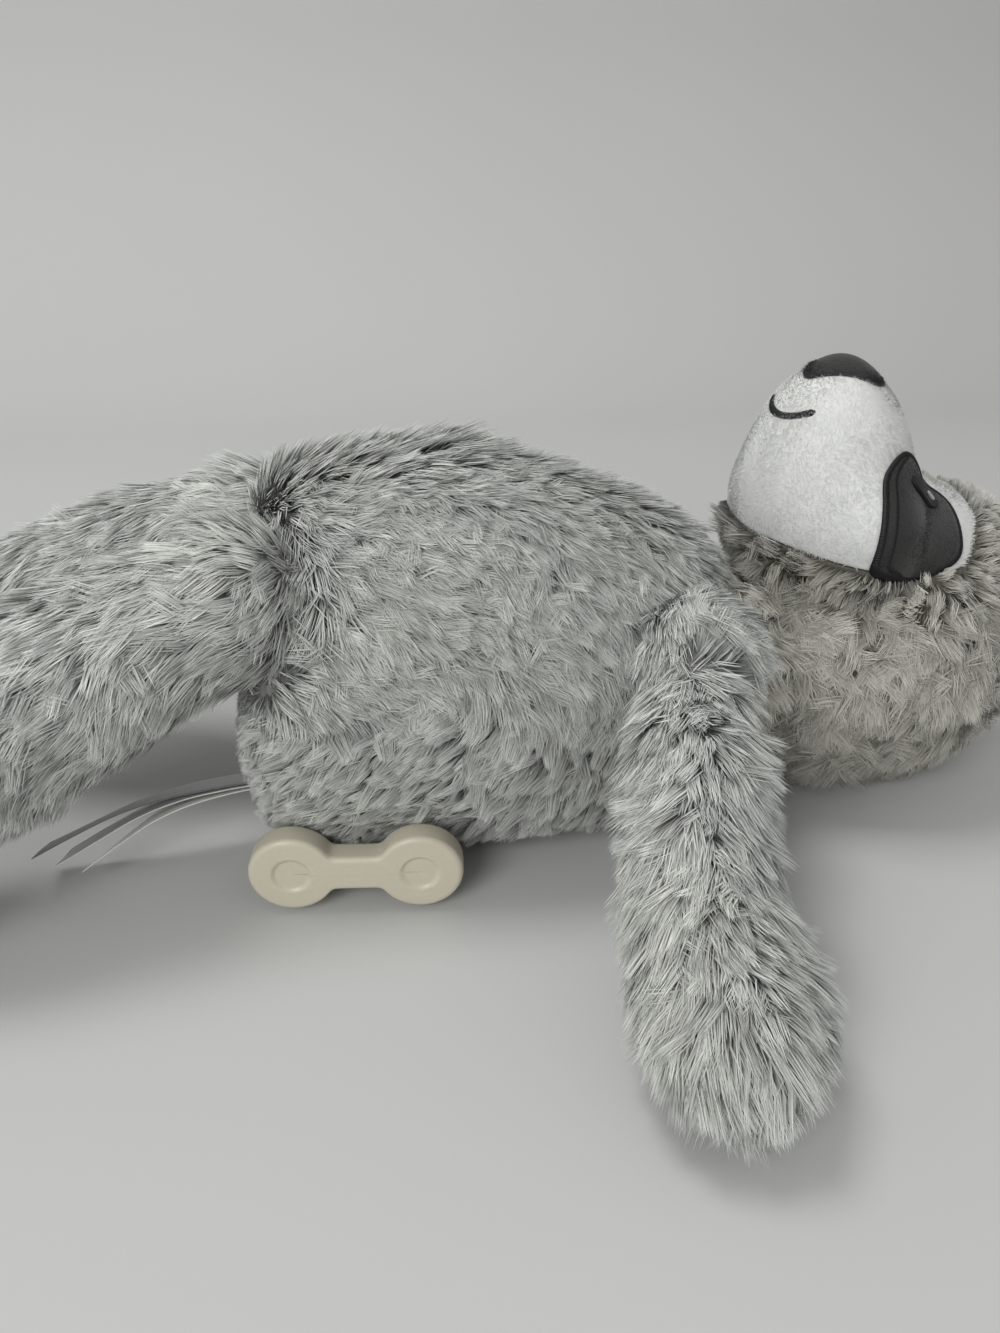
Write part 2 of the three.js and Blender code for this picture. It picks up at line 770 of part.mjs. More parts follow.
const pitchRadius = (teeth) => teeth * gearModule / 2;
const gearBottomZ = grooveZ + spoolGroove + spoolFlange;
const gearTopZ = gearBottomZ + gearThickness;
const bedplateZ = gearTopZ + runningGap;
const bedplateTopZ = bedplateZ + bedplateThickness;
const caseTopZ = caseBottomZ + caseHeight;
const caseInnerRadius = caseRadius - caseWall;
const governorX = spoolX + pitchRadius(spoolTeeth) + pitchRadius(governorTeeth) + runningGap;
const cylinderZ = gearTopZ + runningGap + wheelRadius;
const wheelX = spoolX - pitchRadius(spoolTeeth);
const rearUprightX = wheelX + wheelThickness + runningGap;
const cylinderX = rearUprightX + uprightThickness + runningGap;
const frontUprightX = cylinderX + cylinderLength + runningGap;
const combTipY = cylinderRadius + pinHeight + runningGap;
const combHeelY = combTipY + combToothLength;
const combX = cylinderX + (cylinderLength - combLength) / 2;

const pillars = [-pillarAngle, pillarAngle].map((degrees) => {
  const angle = THREE.MathUtils.degToRad(degrees);
  return [caseX + pillarReach * Math.cos(angle), pillarReach * Math.sin(angle)];
});

// Straight-sided teeth with play between them, [x, y] points about the middle
function gearOutline(teeth, turn) {
  const pitch = pitchRadius(teeth);
  const tip = pitch + toothHeightShare * gearModule;
  const root = pitch - toothRootShare * gearModule;
  const step = 2 * Math.PI / teeth;
  const points = [];
  for (let tooth = 0; tooth < teeth; tooth += 1) {
    const middle = turn + tooth * step;
    const foot = step * toothFootShare / 2;
    const crest = step * toothTipShare / 2;
    const corners = [[root, -foot], [tip, -crest], [tip, crest], [root, foot]];
    for (const [radius, side] of corners) {
      const angle = middle + side;
      points.push([radius * Math.cos(angle), radius * Math.sin(angle)]);
    }
  }
  return points;
}

function shifted(points, x) {
  return points.map(([pointX, pointY]) => [pointX + x, pointY]);
}

function makeCase() {
  const split = bedplateZ;
  let lower = turnedZ([
    [0, caseBottomZ],
    [caseRadius, caseBottomZ],
    [caseRadius, split],
    [caseInnerRadius, split],
    [caseInnerRadius, caseBottomZ + caseWall],
    [0, caseBottomZ + caseWall],
  ], caseX);
  let upper = turnedZ([
    [0, caseTopZ - caseWall],
    [caseInnerRadius, caseTopZ - caseWall],
    [caseInnerRadius, split + seamGap],
    [caseRadius, split + seamGap],
    [caseRadius, caseTopZ],
    [0, caseTopZ],
  ], caseX);
  const boreRadius = screwRadius + seamGap;
  const headRoom = caseTopZ - screwHeadHeight - seamGap;
  for (const [x, y] of pillars) {
    lower = lower.add(barZ(pillarRadius, caseBottomZ, bedplateZ - seamGap, x, y));
    lower = lower.subtract(barZ(boreRadius, caseBottomZ + caseWall, caseTopZ, x, y));
    upper = upper.add(barZ(pillarRadius, bedplateTopZ + seamGap, caseTopZ, x, y));
    upper = upper.subtract(barZ(boreRadius, caseBottomZ, caseTopZ + cutOverrun, x, y));
    upper = upper.subtract(barZ(screwHeadRadius + seamGap, headRoom, caseTopZ + cutOverrun, x, y));
  }
  const slot = barY(cordBore / 2, -caseRadius, 0, cordX, cordZ);
  addPiece('movement_case_lower', lower.subtract(slot), whitePlastic);
  addPiece('movement_case_upper', upper, whitePlastic);
}

function makeCaseScrews() {
  pillars.forEach(([x, y], number) => {
    const headTop = caseTopZ - seamGap;
    const headBottom = headTop - screwHeadHeight + seamGap;
    const shank = barZ(screwRadius, caseBottomZ + caseWall + seamGap, headTop, x, y);
    addPiece(`case_screw_${number + 1}`, shank.add(barZ(screwHeadRadius, headBottom, headTop, x, y)), steel);
  });
}

function makeSpool() {
  const bore = spoolAxleRadius + runningGap;
  const hollow = spoolHubRadius - spoolWall;
  const grooveTop = grooveZ + spoolGroove;
  const spool = turnedZ([
    [bore, grooveTop],
    [hollow, grooveTop],
    [hollow, spoolBottomZ],
    [spoolFlangeRadius, spoolBottomZ],
    [spoolFlangeRadius, grooveZ],
    [spoolHubRadius, grooveZ],
    [spoolHubRadius, grooveTop],
    [spoolFlangeRadius, grooveTop],
    [spoolFlangeRadius, gearBottomZ],
    [bore, gearBottomZ],
    [bore, grooveTop],
  ], spoolX);
  const teeth = raised(shifted(gearOutline(spoolTeeth, 0), spoolX), gearBottomZ - spoolFlange / 2, gearTopZ);
  const axleBore = barZ(bore, spoolBottomZ, gearTopZ + cutOverrun, spoolX, 0);
  addPiece('cord_spool', spool.add(teeth).subtract(axleBore), whitePlastic);
  const windingInner = spoolHubRadius + seamGap;
  const windingLow = grooveZ + seamGap;
  const windingHigh = grooveTop - seamGap;
  const winding = turnedZ([
    [windingInner, windingLow],
    [windingRadius, windingLow],
    [windingRadius, windingHigh],
    [windingInner, windingHigh],
    [windingInner, windingLow],
  ], spoolX);
  addPiece('cord_winding', winding, cordWhite);
  addPiece('spool_axle', barZ(spoolAxleRadius, spoolBottomZ, gearTopZ, spoolX, 0), steel);
}

function makeMainspring() {
  const first = spoolAxleRadius + runningGap + springStrip / 2;
  const last = spoolHubRadius - spoolWall - runningGap - springStrip / 2;
  const steps = springTurns * smallSides;
  const outer = [];
  const inner = [];
  for (let step = 0; step <= steps; step += 1) {
    const angle = 2 * Math.PI * step / smallSides;
    const radius = first + (last - first) * step / steps;
    outer.push([(radius + springStrip / 2) * Math.cos(angle), (radius + springStrip / 2) * Math.sin(angle)]);
    inner.push([(radius - springStrip / 2) * Math.cos(angle), (radius - springStrip / 2) * Math.sin(angle)]);
  }
  const strip = shifted([...outer, ...inner.reverse()], spoolX);
  addPiece('mainspring', raised(strip, spoolBottomZ, spoolBottomZ + springWidth), steel);
}

function makeBedplate() {
  const radius = caseInnerRadius - seamGap;
  const profile = [[0, bedplateZ], [radius, bedplateZ], [radius, bedplateTopZ], [0, bedplateTopZ]];
  let plate = turnedZ(profile, caseX);
  for (const x of [rearUprightX, frontUprightX]) {
    const low = at(x, -uprightWidth / 2, bedplateZ);
    plate = plate.add(block(low, at(x + uprightThickness, uprightWidth / 2, cylinderZ + uprightCrest)));
  }
  const standLow = at(combX + combStandInset, combHeelY + combStandInset, bedplateZ);
  const standTop = cylinderZ - combThickness / 2 - seamGap;
  const standHigh = at(combX + combLength - combStandInset, combHeelY + combHeel, standTop);
  plate = plate.add(block(standLow, standHigh));
  const spindleBore = spindleRadius + runningGap;
  plate = plate.subtract(barX(spindleBore, wheelX, frontUprightX + cutOverrun, 0, cylinderZ));
  for (const [x, y] of pillars) {
    plate = plate.subtract(barZ(screwRadius + seamGap, caseBottomZ, caseTopZ, x, y));
  }
  plate = plate.subtract(barZ(spindleBore, caseBottomZ, caseTopZ, governorX, 0));
  const slotHalf = wheelRadius / 2 + wheelThickness;
  const slotLow = at(wheelX - runningGap, -slotHalf, caseBottomZ);
  const slotHigh = at(wheelX + wheelThickness + runningGap / 2, slotHalf, bedplateTopZ + cutOverrun);
  plate = plate.subtract(block(slotLow, slotHigh));
  const screwX = combX + combLength / 2;
  const screwY = combHeelY + combHeel / 2 + combStandInset / 2;
  plate = plate.subtract(barZ(screwRadius + seamGap, bedplateTopZ, caseTopZ, screwX, screwY));
  addPiece('bedplate', plate, brass);
  const combTop = cylinderZ + combThickness / 2;
  const headBottom = combTop + seamGap;
  const headTop = headBottom + screwHeadHeight;
  const shank = barZ(screwRadius, bedplateTopZ + seamGap, headTop, screwX, screwY);
  const head = barZ(screwHeadRadius, headBottom, headTop, screwX, screwY);
  addPiece('comb_screw', shank.add(head), steel);
  makeComb(screwX, screwY);
}

function makeComb(screwX, screwY) {
  const pitch = combLength / combTeeth;
  const points = [[combX + combLength, combHeelY + combHeel], [combX, combHeelY + combHeel]];
  for (let tooth = 0; tooth < combTeeth; tooth += 1) {
    const left = combX + tooth * pitch;
    const right = left + pitch * (1 - combToothGapShare);
    points.push([left, combHeelY], [left, combTipY], [right, combTipY], [right, combHeelY]);
  }
  points.push([combX + combLength, combHeelY]);
  const low = cylinderZ - combThickness / 2;
  const comb = raised(points, low, low + combThickness);
  addPiece('comb', comb.subtract(barZ(screwRadius + seamGap, bedplateZ, caseTopZ, screwX, screwY)), steel);
}

function makeCylinder() {
  const endX = frontUprightX + uprightThickness + runningGap;
  let cylinder = barX(cylinderRadius, cylinderX, cylinderX + cylinderLength, 0, cylinderZ, 2 * smallSides);
  cylinder = cylinder.add(barX(spindleRadius, wheelX, endX, 0, cylinderZ));
  cylinder = cylinder.add(barX(wheelRadius, wheelX, wheelX + wheelThickness, 0, cylinderZ, 2 * smallSides));
  for (let pin = 0; pin < cylinderPins; pin += 1) {
    const reach = cylinderRadius + pinHeight;
    const geometry = new THREE.BoxGeometry(pinWidth, pinWidth, reach).translate(0, 0, reach / 2);
    geometry.rotateX(2 * Math.PI * pin * pinTurnShare);
    geometry.translate(combX + combLength * (pin + 1 / 2) / cylinderPins, 0, cylinderZ);
    cylinder = cylinder.add(solidOf(geometry));
  }
  addPiece('music_cylinder', cylinder, brass);
}

function makeGovernor() {
  const bottomZ = caseBottomZ + caseWall + runningGap;
  const topZ = caseTopZ - caseWall - runningGap;
  let governor = barZ(spindleRadius, bottomZ, topZ, governorX, 0);
  const halfTooth = Math.PI / governorTeeth;
  const pinion = shifted(gearOutline(governorTeeth, halfTooth), governorX);
  governor = governor.add(raised(pinion, gearBottomZ + runningGap, gearTopZ));
  const fanLow = bedplateTopZ + runningGap;
  const fanHigh = topZ - runningGap;
  const vane = at(governorX - fanVane / 2, -fanRadius, fanLow);
  governor = governor.add(block(vane, at(governorX + fanVane / 2, fanRadius, fanHigh)));
  addPiece('governor_fan', governor, whitePlastic);
}

makeTorso();
makeHead();
makeNose();
makeMouth();
for (const [word, side] of Object.entries(sides)) {
  makeEye(word, side);
  makeArm(word, side);
  makeLeg(word, side);
}
for (let number = 0; number < labelReaches.length; number += 1) {
  makeLabel(number);
}
makeHandle();
makeCord();
makeCase();
makeCaseScrews();
makeSpool();
makeMainspring();
makeBedplate();
makeCylinder();
makeGovernor();

export default group;
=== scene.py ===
# %% [markdown]
# A musical plush sloth, lying on its back.
# The CAD model holds the pieces, the joints and the movement inside. This file gives them their looks:
# long-pile fur, a short white face, felt and embroidery, satin labels and a moulded pull handle.
# Everything is in metres, in the CAD model's own frame: +X to the head, -Y to the cord's side, +Z up.

import json
import math

import bpy
import numpy as np
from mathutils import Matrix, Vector

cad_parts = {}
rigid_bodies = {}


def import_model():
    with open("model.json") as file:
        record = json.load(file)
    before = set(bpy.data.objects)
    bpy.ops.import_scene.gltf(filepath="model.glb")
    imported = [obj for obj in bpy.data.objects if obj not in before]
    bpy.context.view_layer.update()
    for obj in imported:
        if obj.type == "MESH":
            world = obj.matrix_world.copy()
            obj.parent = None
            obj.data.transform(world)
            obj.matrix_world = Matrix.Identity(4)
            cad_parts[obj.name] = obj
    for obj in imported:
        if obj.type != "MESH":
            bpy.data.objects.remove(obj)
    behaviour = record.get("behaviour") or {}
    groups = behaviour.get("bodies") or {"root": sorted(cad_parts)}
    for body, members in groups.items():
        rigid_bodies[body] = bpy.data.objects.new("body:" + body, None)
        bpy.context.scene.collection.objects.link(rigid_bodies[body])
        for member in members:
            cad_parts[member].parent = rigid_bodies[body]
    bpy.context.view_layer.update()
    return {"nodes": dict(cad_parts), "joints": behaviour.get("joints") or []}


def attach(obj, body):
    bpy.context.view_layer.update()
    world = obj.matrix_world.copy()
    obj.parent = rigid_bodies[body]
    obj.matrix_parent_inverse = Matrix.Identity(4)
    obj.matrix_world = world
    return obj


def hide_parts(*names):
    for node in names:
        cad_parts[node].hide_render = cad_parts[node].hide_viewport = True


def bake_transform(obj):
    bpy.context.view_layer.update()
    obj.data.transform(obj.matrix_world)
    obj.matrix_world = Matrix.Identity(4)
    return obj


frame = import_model()
MM = 0.001
print("CAD nodes:", len(frame["nodes"]))

# %% [markdown]
# The camera stands where the photographer stood: a little above the toy, looking down at it and slightly
# towards its head. Its place and lens came from matching the floor, the handle and the body's outline.

# %% Camera
CAMERA_PLACE = Vector((-0.029, -0.236, 0.1695))
CAMERA_HEADING = math.radians(7)
CAMERA_PITCH = math.radians(28)
CAMERA_LENS = 27.03

camera = bpy.data.objects.new("camera", bpy.data.cameras.new("camera"))
camera.data.lens = CAMERA_LENS
camera.data.sensor_width = 36
camera.data.clip_start = 0.01
camera.location = CAMERA_PLACE
camera.rotation_euler = (math.pi / 2 - CAMERA_PITCH, 0, -CAMERA_HEADING)
bpy.context.scene.collection.objects.link(camera)
bpy.context.scene.camera = camera
bpy.context.scene.view_settings.view_transform = "Standard"

# %% [markdown]
# Most pieces here are surfaces worked out on a grid with numpy. Rows run along the piece and columns run
# round it. Two small helpers turn such a grid into a mesh, and one draws a smooth curve through a few
# points, so that a shape is written with as few numbers as it needs. Others measure along such a curve.

# %% Smooth curves through a table


def through(table, places):
    """Catmull-Rom: between two rows of the table, a cubic that leaves each row along the line from the row
    before it to the row after it. places run from 0 to the last row."""
    table = np.asarray(table, float)
    padded = np.vstack([2 * table[0] - table[1], table, 2 * table[-1] - table[-2]])
    places = np.clip(np.asarray(places, float), 0, len(table) - 1 - 1e-9)
    row = places.astype(int)
    t = (places - row)[:, None]
    a, b, c, d = (padded[row + k] for k in range(4))
    return 0.5 * (2 * b + (c - a) * t + (2 * a - 5 * b + 4 * c - d) * t**2 + (3 * b - a - 3 * c + d) * t**3)


def unit(v):
    """Each vector divided by its own length."""
    return v / np.maximum(np.linalg.norm(v, axis=-1, keepdims=True), 1e-12)


def smooth(x, low, high):
    """0 below low, 1 above high, and 3t^2 - 2t^3 between them."""
    t = np.clip((x - low) / (high - low), 0, 1)
    return t * t * (3 - 2 * t)


def length_so_far(line):
    """The length of a line up to each of its points."""
    return np.concatenate([[0], np.linalg.norm(np.diff(line, axis=0), axis=1).cumsum()])


def along_line(line, so_far, at):
    """The places on a line at which its length so far reaches the given lengths."""
    return np.stack([np.interp(at, so_far, column) for column in line.T], -1)


def halved(low, high, times, short):
    """Halves intervals, each time to the half in which short stops being true."""
    for _ in range(times):
        middle = (low + high) / 2
        still = short(middle)
        low, high = np.where(still, middle, low), np.where(still, high, middle)
    return low


def about_z(p, angle):
    """Turns points about the upright axis."""
    c, s = math.cos(angle), math.sin(angle)
    x, y, z = np.moveaxis(p, -1, 0)
    return np.stack([x * c - y * s, x * s + y * c, z], -1)


# %% A mesh from a grid


def add_uv(mesh, name, uv, faces):
    """A UV map from one place for each vertex."""
    layer = mesh.uv_layers.new(name=name)
    layer.uv.foreach_set("vector", np.ascontiguousarray(uv[faces.ravel()], np.float32).ravel())


def mesh_piece(name, points, faces, uv=None):
    """Puts arrays of points and faces, all with the same number of corners, into a new object."""
    mesh = bpy.data.meshes.new(name)
    corners = faces.shape[1]
    mesh.vertices.add(len(points))
    mesh.vertices.foreach_set("co", np.ascontiguousarray(points, np.float32).ravel())
    mesh.loops.add(faces.size)
    mesh.loops.foreach_set("vertex_index", np.ascontiguousarray(faces, np.int32).ravel())
    mesh.polygons.add(len(faces))
    mesh.polygons.foreach_set("loop_start", np.arange(0, faces.size, corners, dtype=np.int32))
    mesh.polygons.foreach_set("use_smooth", np.ones(len(faces), bool))
    mesh.update(calc_edges=True)
    if uv is not None:
        add_uv(mesh, "UVMap", uv, faces)
    piece = bpy.data.objects.new(name, mesh)
    bpy.context.scene.collection.objects.link(piece)
    return piece


def ring_faces(at, after):
    """Two triangles for each square between rows of vertex numbers and the rows after them."""
    turn, turn_after = np.roll(at, -1, axis=1), np.roll(after, -1, axis=1)
    halves = (at, turn, after), (turn, turn_after, after)
    return [np.stack(half, -1).reshape(-1, 3) for half in halves]


def ring_uv(rows, sides, closed=False):
    """u runs round each ring and v along the rings."""
    u = np.tile(np.linspace(0, 1, sides, endpoint=False), rows)
    v = np.repeat(np.linspace(0, 1, rows, endpoint=not closed), sides)
    return np.stack([u, v], -1)


def tube_mesh(name, rings):
    """Joins rings of points, each closed on itself, and closes both ends with a fan to a middle point."""
    rows, sides = rings.shape[:2]
    points = np.vstack([rings.reshape(-1, 3), [rings[0].mean(0)], [rings[-1].mean(0)]])
    at = np.arange(rows * sides).reshape(rows, sides)
    start, end = np.full(sides, rows * sides), np.full(sides, rows * sides + 1)
    caps = [
        np.stack([np.roll(at[0], -1), at[0], start], -1),
        np.stack([at[-1], np.roll(at[-1], -1), end], -1),
    ]
    uv = np.vstack([ring_uv(rows, sides), [[0.5, 0], [0.5, 1]]])
    return mesh_piece(name, points, np.vstack(ring_faces(at[:-1], at[1:]) + caps), uv)


def loop_mesh(name, rings):
    """A tube whose last ring joins its first, as round a border."""
    rows, sides = rings.shape[:2]
    at = np.arange(rows * sides).reshape(rows, sides)
    faces = np.vstack(ring_faces(at, np.roll(at, -1, axis=0)))
    return mesh_piece(name, rings.reshape(-1, 3), faces, ring_uv(rows, sides, closed=True))


# %% [markdown]
# Materials are node trees, and their maths reads best as plain sums. This small class wraps a socket, so
# that `mask * 0.4 + 1` adds the Math nodes it needs. Any other node comes from one method, `node`.

# %% Shader maths


class Value:
    """A shader socket that can be added and multiplied."""

    def __init__(self, shader, socket):
        self.shader = shader
        self.socket = socket

    def maths(self, operation, other):
        return self.shader.node("ShaderNodeMath", {"operation": operation}, {0: self, 1: other})

    def __add__(self, other):
        return self.maths("ADD", other)

    def __mul__(self, other):
        return self.maths("MULTIPLY", other)


class Shader:
    """One material, its Principled shader, and the nodes that feed it."""

    def __init__(self, name):
        self.material = bpy.data.materials.new(name)
        self.material.use_nodes = True
        self.tree = self.material.node_tree
        self.surface = self.tree.nodes["Principled BSDF"]

    def feed(self, socket, value):
        """Links a value to a socket, or sets it to a number, a vector or a colour."""
        if isinstance(value, Value):
            self.tree.links.new(value.socket, socket)
        else:
            socket.default_value = (*value, 1) if socket.type == "RGBA" else value

    def node(self, kind, settings=None, inputs=None, output=0):
        """A node of a kind, with its settings set first and then its sockets' values or links."""
        made = self.tree.nodes.new(kind)
        for key, value in (settings or {}).items():
            setattr(made, key, value)
        for key, value in (inputs or {}).items():
            self.feed(made.inputs[key], value)
        return Value(self, made.outputs[output])

    def place(self, scale=(1, 1, 1), uv=False):
        """Object coordinates, or the piece's own UV coordinates, scaled."""
        here = self.node("ShaderNodeTexCoord", output=2 if uv else 3)
        return self.node("ShaderNodeMapping", None, {0: here, 3: scale})

    def noise(self, at, scale, detail=2.0, roughness=0.5):
        sockets = {0: at, "Scale": scale, "Detail": detail, "Roughness": roughness}
        return self.node("ShaderNodeTexNoise", None, sockets)

    def mix(self, factor, first, second, blend="MIX"):
        """Mixes two colours."""
        settings = {"data_type": "RGBA", "blend_type": blend}
        return self.node("ShaderNodeMix", settings, {0: factor, 6: first, 7: second}, output=2)

    def ramp(self, factor, *stops):
        """Colours at places between 0 and 1, and blends of them in between."""
        made = self.node("ShaderNodeValToRGB", None, {0: factor})
        elements = made.socket.node.color_ramp.elements
        while len(elements) < len(stops):
            elements.new(0.5)
        for element, (place, colour) in zip(elements, stops):
            element.position = place
            element.color = (*colour, 1)
        return made

    def bump(self, height, strength, distance):
        sockets = {"Strength": strength, "Distance": distance, "Height": height}
        return self.node("ShaderNodeBump", None, sockets)

    def wave(self, at, scale, distortion=0.0, direction="X"):
        """Dark and pale bands across a direction."""
        sockets = {0: at, "Scale": scale, "Distortion": distortion}
        return self.node("ShaderNodeTexWave", {"bands_direction": direction}, sockets)

    def set(self, **sockets):
        """Base_Color=..., Roughness=... and so on, each a value or a link."""
        for key, value in sockets.items():
            self.feed(self.surface.inputs[key.replace("_", " ")], value)
        return self.material

    def dyed(self, grain, dark, pale, strength, distance, relief=None, **sockets):
        """From dark to pale by the grain, and raised by the relief, or else by the grain too."""
        colour = self.mix(grain, dark, pale)
        return self.set(Base_Color=colour, Normal=self.bump(relief or grain, strength, distance), **sockets)


def linear(*srgb):
    """A colour written as 0-255 screen values, as the linear light a shader wants."""
    c = np.array(srgb, float) / 255
    return tuple(float(x) for x in np.where(c <= 0.04045, c / 12.92, ((c + 0.055) / 1.055) ** 2.4))


# %% [markdown]
# Long pile is dark at its foot, where light is trapped, and pale at its tips. Each strand carries three
# numbers as a point attribute called pile: how far along the strand a point is, the strand's own shade and
# its tuft's. The hood of the head is a warmer grey than the body.

# %% Fur materials
BLACK, WHITE = (0, 0, 0), (1, 1, 1)


def fur_material(name, foot, middle, tip, warm):
    """Foot to tip through a ramp, then lighter or darker by strand and tuft, with a warm drift in broad
    patches."""
    s = Shader(name)
    attribute = s.node("ShaderNodeAttribute", {"attribute_name": "pile"})
    along = s.node("ShaderNodeSeparateColor", None, {0: attribute})
    strand, tuft = (Value(s, along.socket.node.outputs[number]) for number in (1, 2))
    colour = s.ramp(along, (0.0, foot), (0.45, middle), (1.0, tip))
    patch = s.noise(s.place(), 26.0)
    colour = s.mix(s.ramp(patch, (0.42, BLACK), (0.68, WHITE)) * 0.35, colour, warm, "MULTIPLY")
    shade = strand * 0.44 + tuft * 0.5 + 0.54
    grey = s.node("ShaderNodeCombineColor", None, {0: shade, 1: shade, 2: shade})
    return s.set(
        Base_Color=s.mix(1.0, colour, grey, "MULTIPLY"),
        Roughness=0.62,
        Specular_IOR_Level=0.35,
        Sheen_Weight=0.25,
        Sheen_Roughness=0.5,
    )


GREY_FUR = fur_material(
    "grey_pile", linear(44, 44, 41), linear(150, 152, 147), linear(214, 216, 211), (0.95, 0.94, 0.90)
)
HOOD_FUR = fur_material(
    "hood_pile", linear(54, 50, 42), linear(158, 156, 146), linear(216, 214, 206), (0.94, 0.92, 0.87)
)


def backing_material(name, colour):
    """Knitted backing under the pile: fine rows of loops, with painted shade in the grooves between them.
    """
    s = Shader(name)
    rows = s.wave(s.place(), 190.0, distortion=2.0)
    # Painted shade: the rows darken the colour in the grooves between them, and a fine noise adds fibre
    # tone.
    groove_shade_and_fibre_tone = rows * 0.5 + s.noise(s.place(), 900.0) * 0.3
    return s.dyed(groove_shade_and_fibre_tone, tuple(0.7 * c for c in colour), colour, 0.4, 0.0004, rows, Roughness=0.95)


GREY_BACKING = backing_material("grey_backing", linear(126, 127, 123))
HOOD_BACKING = backing_material("hood_backing", linear(100, 97, 88))

# %% [markdown]
# The forms. The torso is a row of rings, each an ellipse with its own half width, top and underside. The
# table is in shares of the torso's length, width and height. The sizes are those of the CAD model, and the
# joints' places come from the frame.

# %% Joints and the balls at the roots
SIDES = {"left": -1, "right": 1}
joint_place = {joint["name"]: np.array(joint.get("pos_m", (0, 0, 0)), float) for joint in frame["joints"]}
NECK = joint_place["head_nod"]
SHOULDERS = {word: joint_place[f"arm_{word}_swing"] for word in SIDES}
HIPS = {word: joint_place[f"leg_{word}_swing"] for word in SIDES}
HEAD_TURN = math.radians(12)
NECK_RADIUS = 22 * MM
SHOULDER_RADIUS = 15.5 * MM
HIP_RADIUS = 16.5 * MM
ROOT_BALLS = [(NECK, NECK_RADIUS)]
ROOT_BALLS += [(centre, SHOULDER_RADIUS) for centre in SHOULDERS.values()]
ROOT_BALLS += [(centre, HIP_RADIUS) for centre in HIPS.values()]
FLOOR_FLAT = 0.5 * MM
THINNEST = 0.0002
print("neck", NECK)

# %% Torso
TORSO_REAR = -64 * MM
TORSO_LENGTH = 122 * MM
TORSO_WIDTH = 84 * MM
TORSO_HEIGHT = 102 * MM
SEAM_GAP = 0.6 * MM
TORSO_SHARES = [
    [0, 0, 0.46, 0.46],
    [0.008, 0.5, 0.71, 0.22],
    [0.035, 0.76, 0.86, 0.09],
    [0.09, 0.9, 0.945, 0.025],
    [0.18, 0.965, 0.985, 0],
    [0.3, 0.99, 1, 0],
    [0.43, 1, 1, 0],
    [0.58, 0.98, 0.96, 0],
    [0.72, 0.9, 0.895, 0],
    [0.84, 0.78, 0.84, 0.005],
    [0.93, 0.61, 0.765, 0.05],
    [0.985, 0.38, 0.64, 0.16],
    [1, 0, 0.42, 0.42],
]


def torso_station(s, inset):
    """Place along X, half width, top and underside at each station s, from 0 at the rear to 1."""
    shares = through(TORSO_SHARES, s * (len(TORSO_SHARES) - 1))
    x = TORSO_REAR + TORSO_LENGTH / 2 + (shares[:, 0] - 0.5) * (TORSO_LENGTH - 2 * inset)
    half = np.maximum(shares[:, 1] * TORSO_WIDTH / 2 - inset, THINNEST)
    top = shares[:, 2] * TORSO_HEIGHT - inset
    under = shares[:, 3] * TORSO_HEIGHT - FLOOR_FLAT + inset
    return x, half, np.maximum(top, under + THINNEST), under


def torso_surface(s, t, inset=0.0):
    """A ring at each s: x from the table, y = half width * cos, z = middle + half height * sin of the angle
    2 pi t. Points inside a root ball move inwards, along the ring's own normal, to the ball's far side."""
    x, half, top, under = torso_station(s, inset)
    angle = 2 * np.pi * t
    middle, rise = (top + under) / 2, (top - under) / 2
    p = np.stack([x, half * np.cos(angle), middle + rise * np.sin(angle)], -1)
    p[:, 2] = np.maximum(p[:, 2], inset)
    across = np.cos(angle) / np.maximum(half, 1e-4)
    n = unit(np.stack([0 * x, across, np.sin(angle) / np.maximum(rise, 1e-4)], -1))
    n[:, 0] = (smooth(s, 0.75, 1.0) - smooth(s, 0.25, 0.0)) * 1.2
    n = unit(n)
    for centre, radius in ROOT_BALLS:
        away = p - centre
        reach = radius + SEAM_GAP
        inside = (away**2).sum(-1) < reach**2
        along = (away * n).sum(-1)
        depth = along + np.sqrt(np.maximum(along**2 - (away**2).sum(-1) + reach**2, 0))
        p = np.where(inside[:, None], p - depth[:, None] * n, p)
    return p


def grid_of(surface, rows, columns, first=0.0, last=1.0, **more):
    """Evaluates surface(s, t) on a grid, as rings of points."""
    s = np.repeat(np.linspace(first, last, rows), columns)
    t = np.tile(np.linspace(0, 1, columns, endpoint=False), rows)
    return surface(s, t, **more).reshape(rows, columns, 3)


# %% Head
SKULL = NECK + np.array([49, 0, 1.5]) * MM
SKULL_RADII = np.array([87, 72, 88]) * MM / 2
DOME = NECK + np.array([26, 0, 44.75]) * MM
DOME_RADII = np.array([41, 43, 65.5]) * MM / 2
JAW = NECK + np.array([26, 0, 39]) * MM
JAW_RADII = np.array([36, 66, 42]) * MM / 2
BROW = NECK + np.array([40, 0, 25]) * MM
BROW_RADII = np.array([40, 56, 48]) * MM / 2
HEART = np.array([DOME[0], 0, (SKULL[2] + DOME[2]) / 2])
CREASE_SHARPNESS = 9
NAPE_TAPER = 0.28
FACE_SEAM_Z = 72.5 * MM
FACE_SEAM_TILT = math.radians(8)
BROW_SEAM_PLACE = np.array([SKULL[0] + 8 * MM, 0, 77 * MM])
BROW_SEAM_TILT = math.radians(-36)
WIDEST_POLAR = 2.6


def wall_distance(direction, centre, radii):
    """From the heart along each direction to an ellipsoid's wall: the larger root of the quadratic."""
    start, step = (HEART - centre) / radii, direction / radii
    quadratic = (step**2).sum(-1)
    linear_term = (step * start).sum(-1)
    inside = linear_term**2 - quadratic * ((start**2).sum() - 1)
    return np.where(inside > 0, (np.sqrt(np.maximum(inside, 0)) - linear_term) / quadratic, 0)


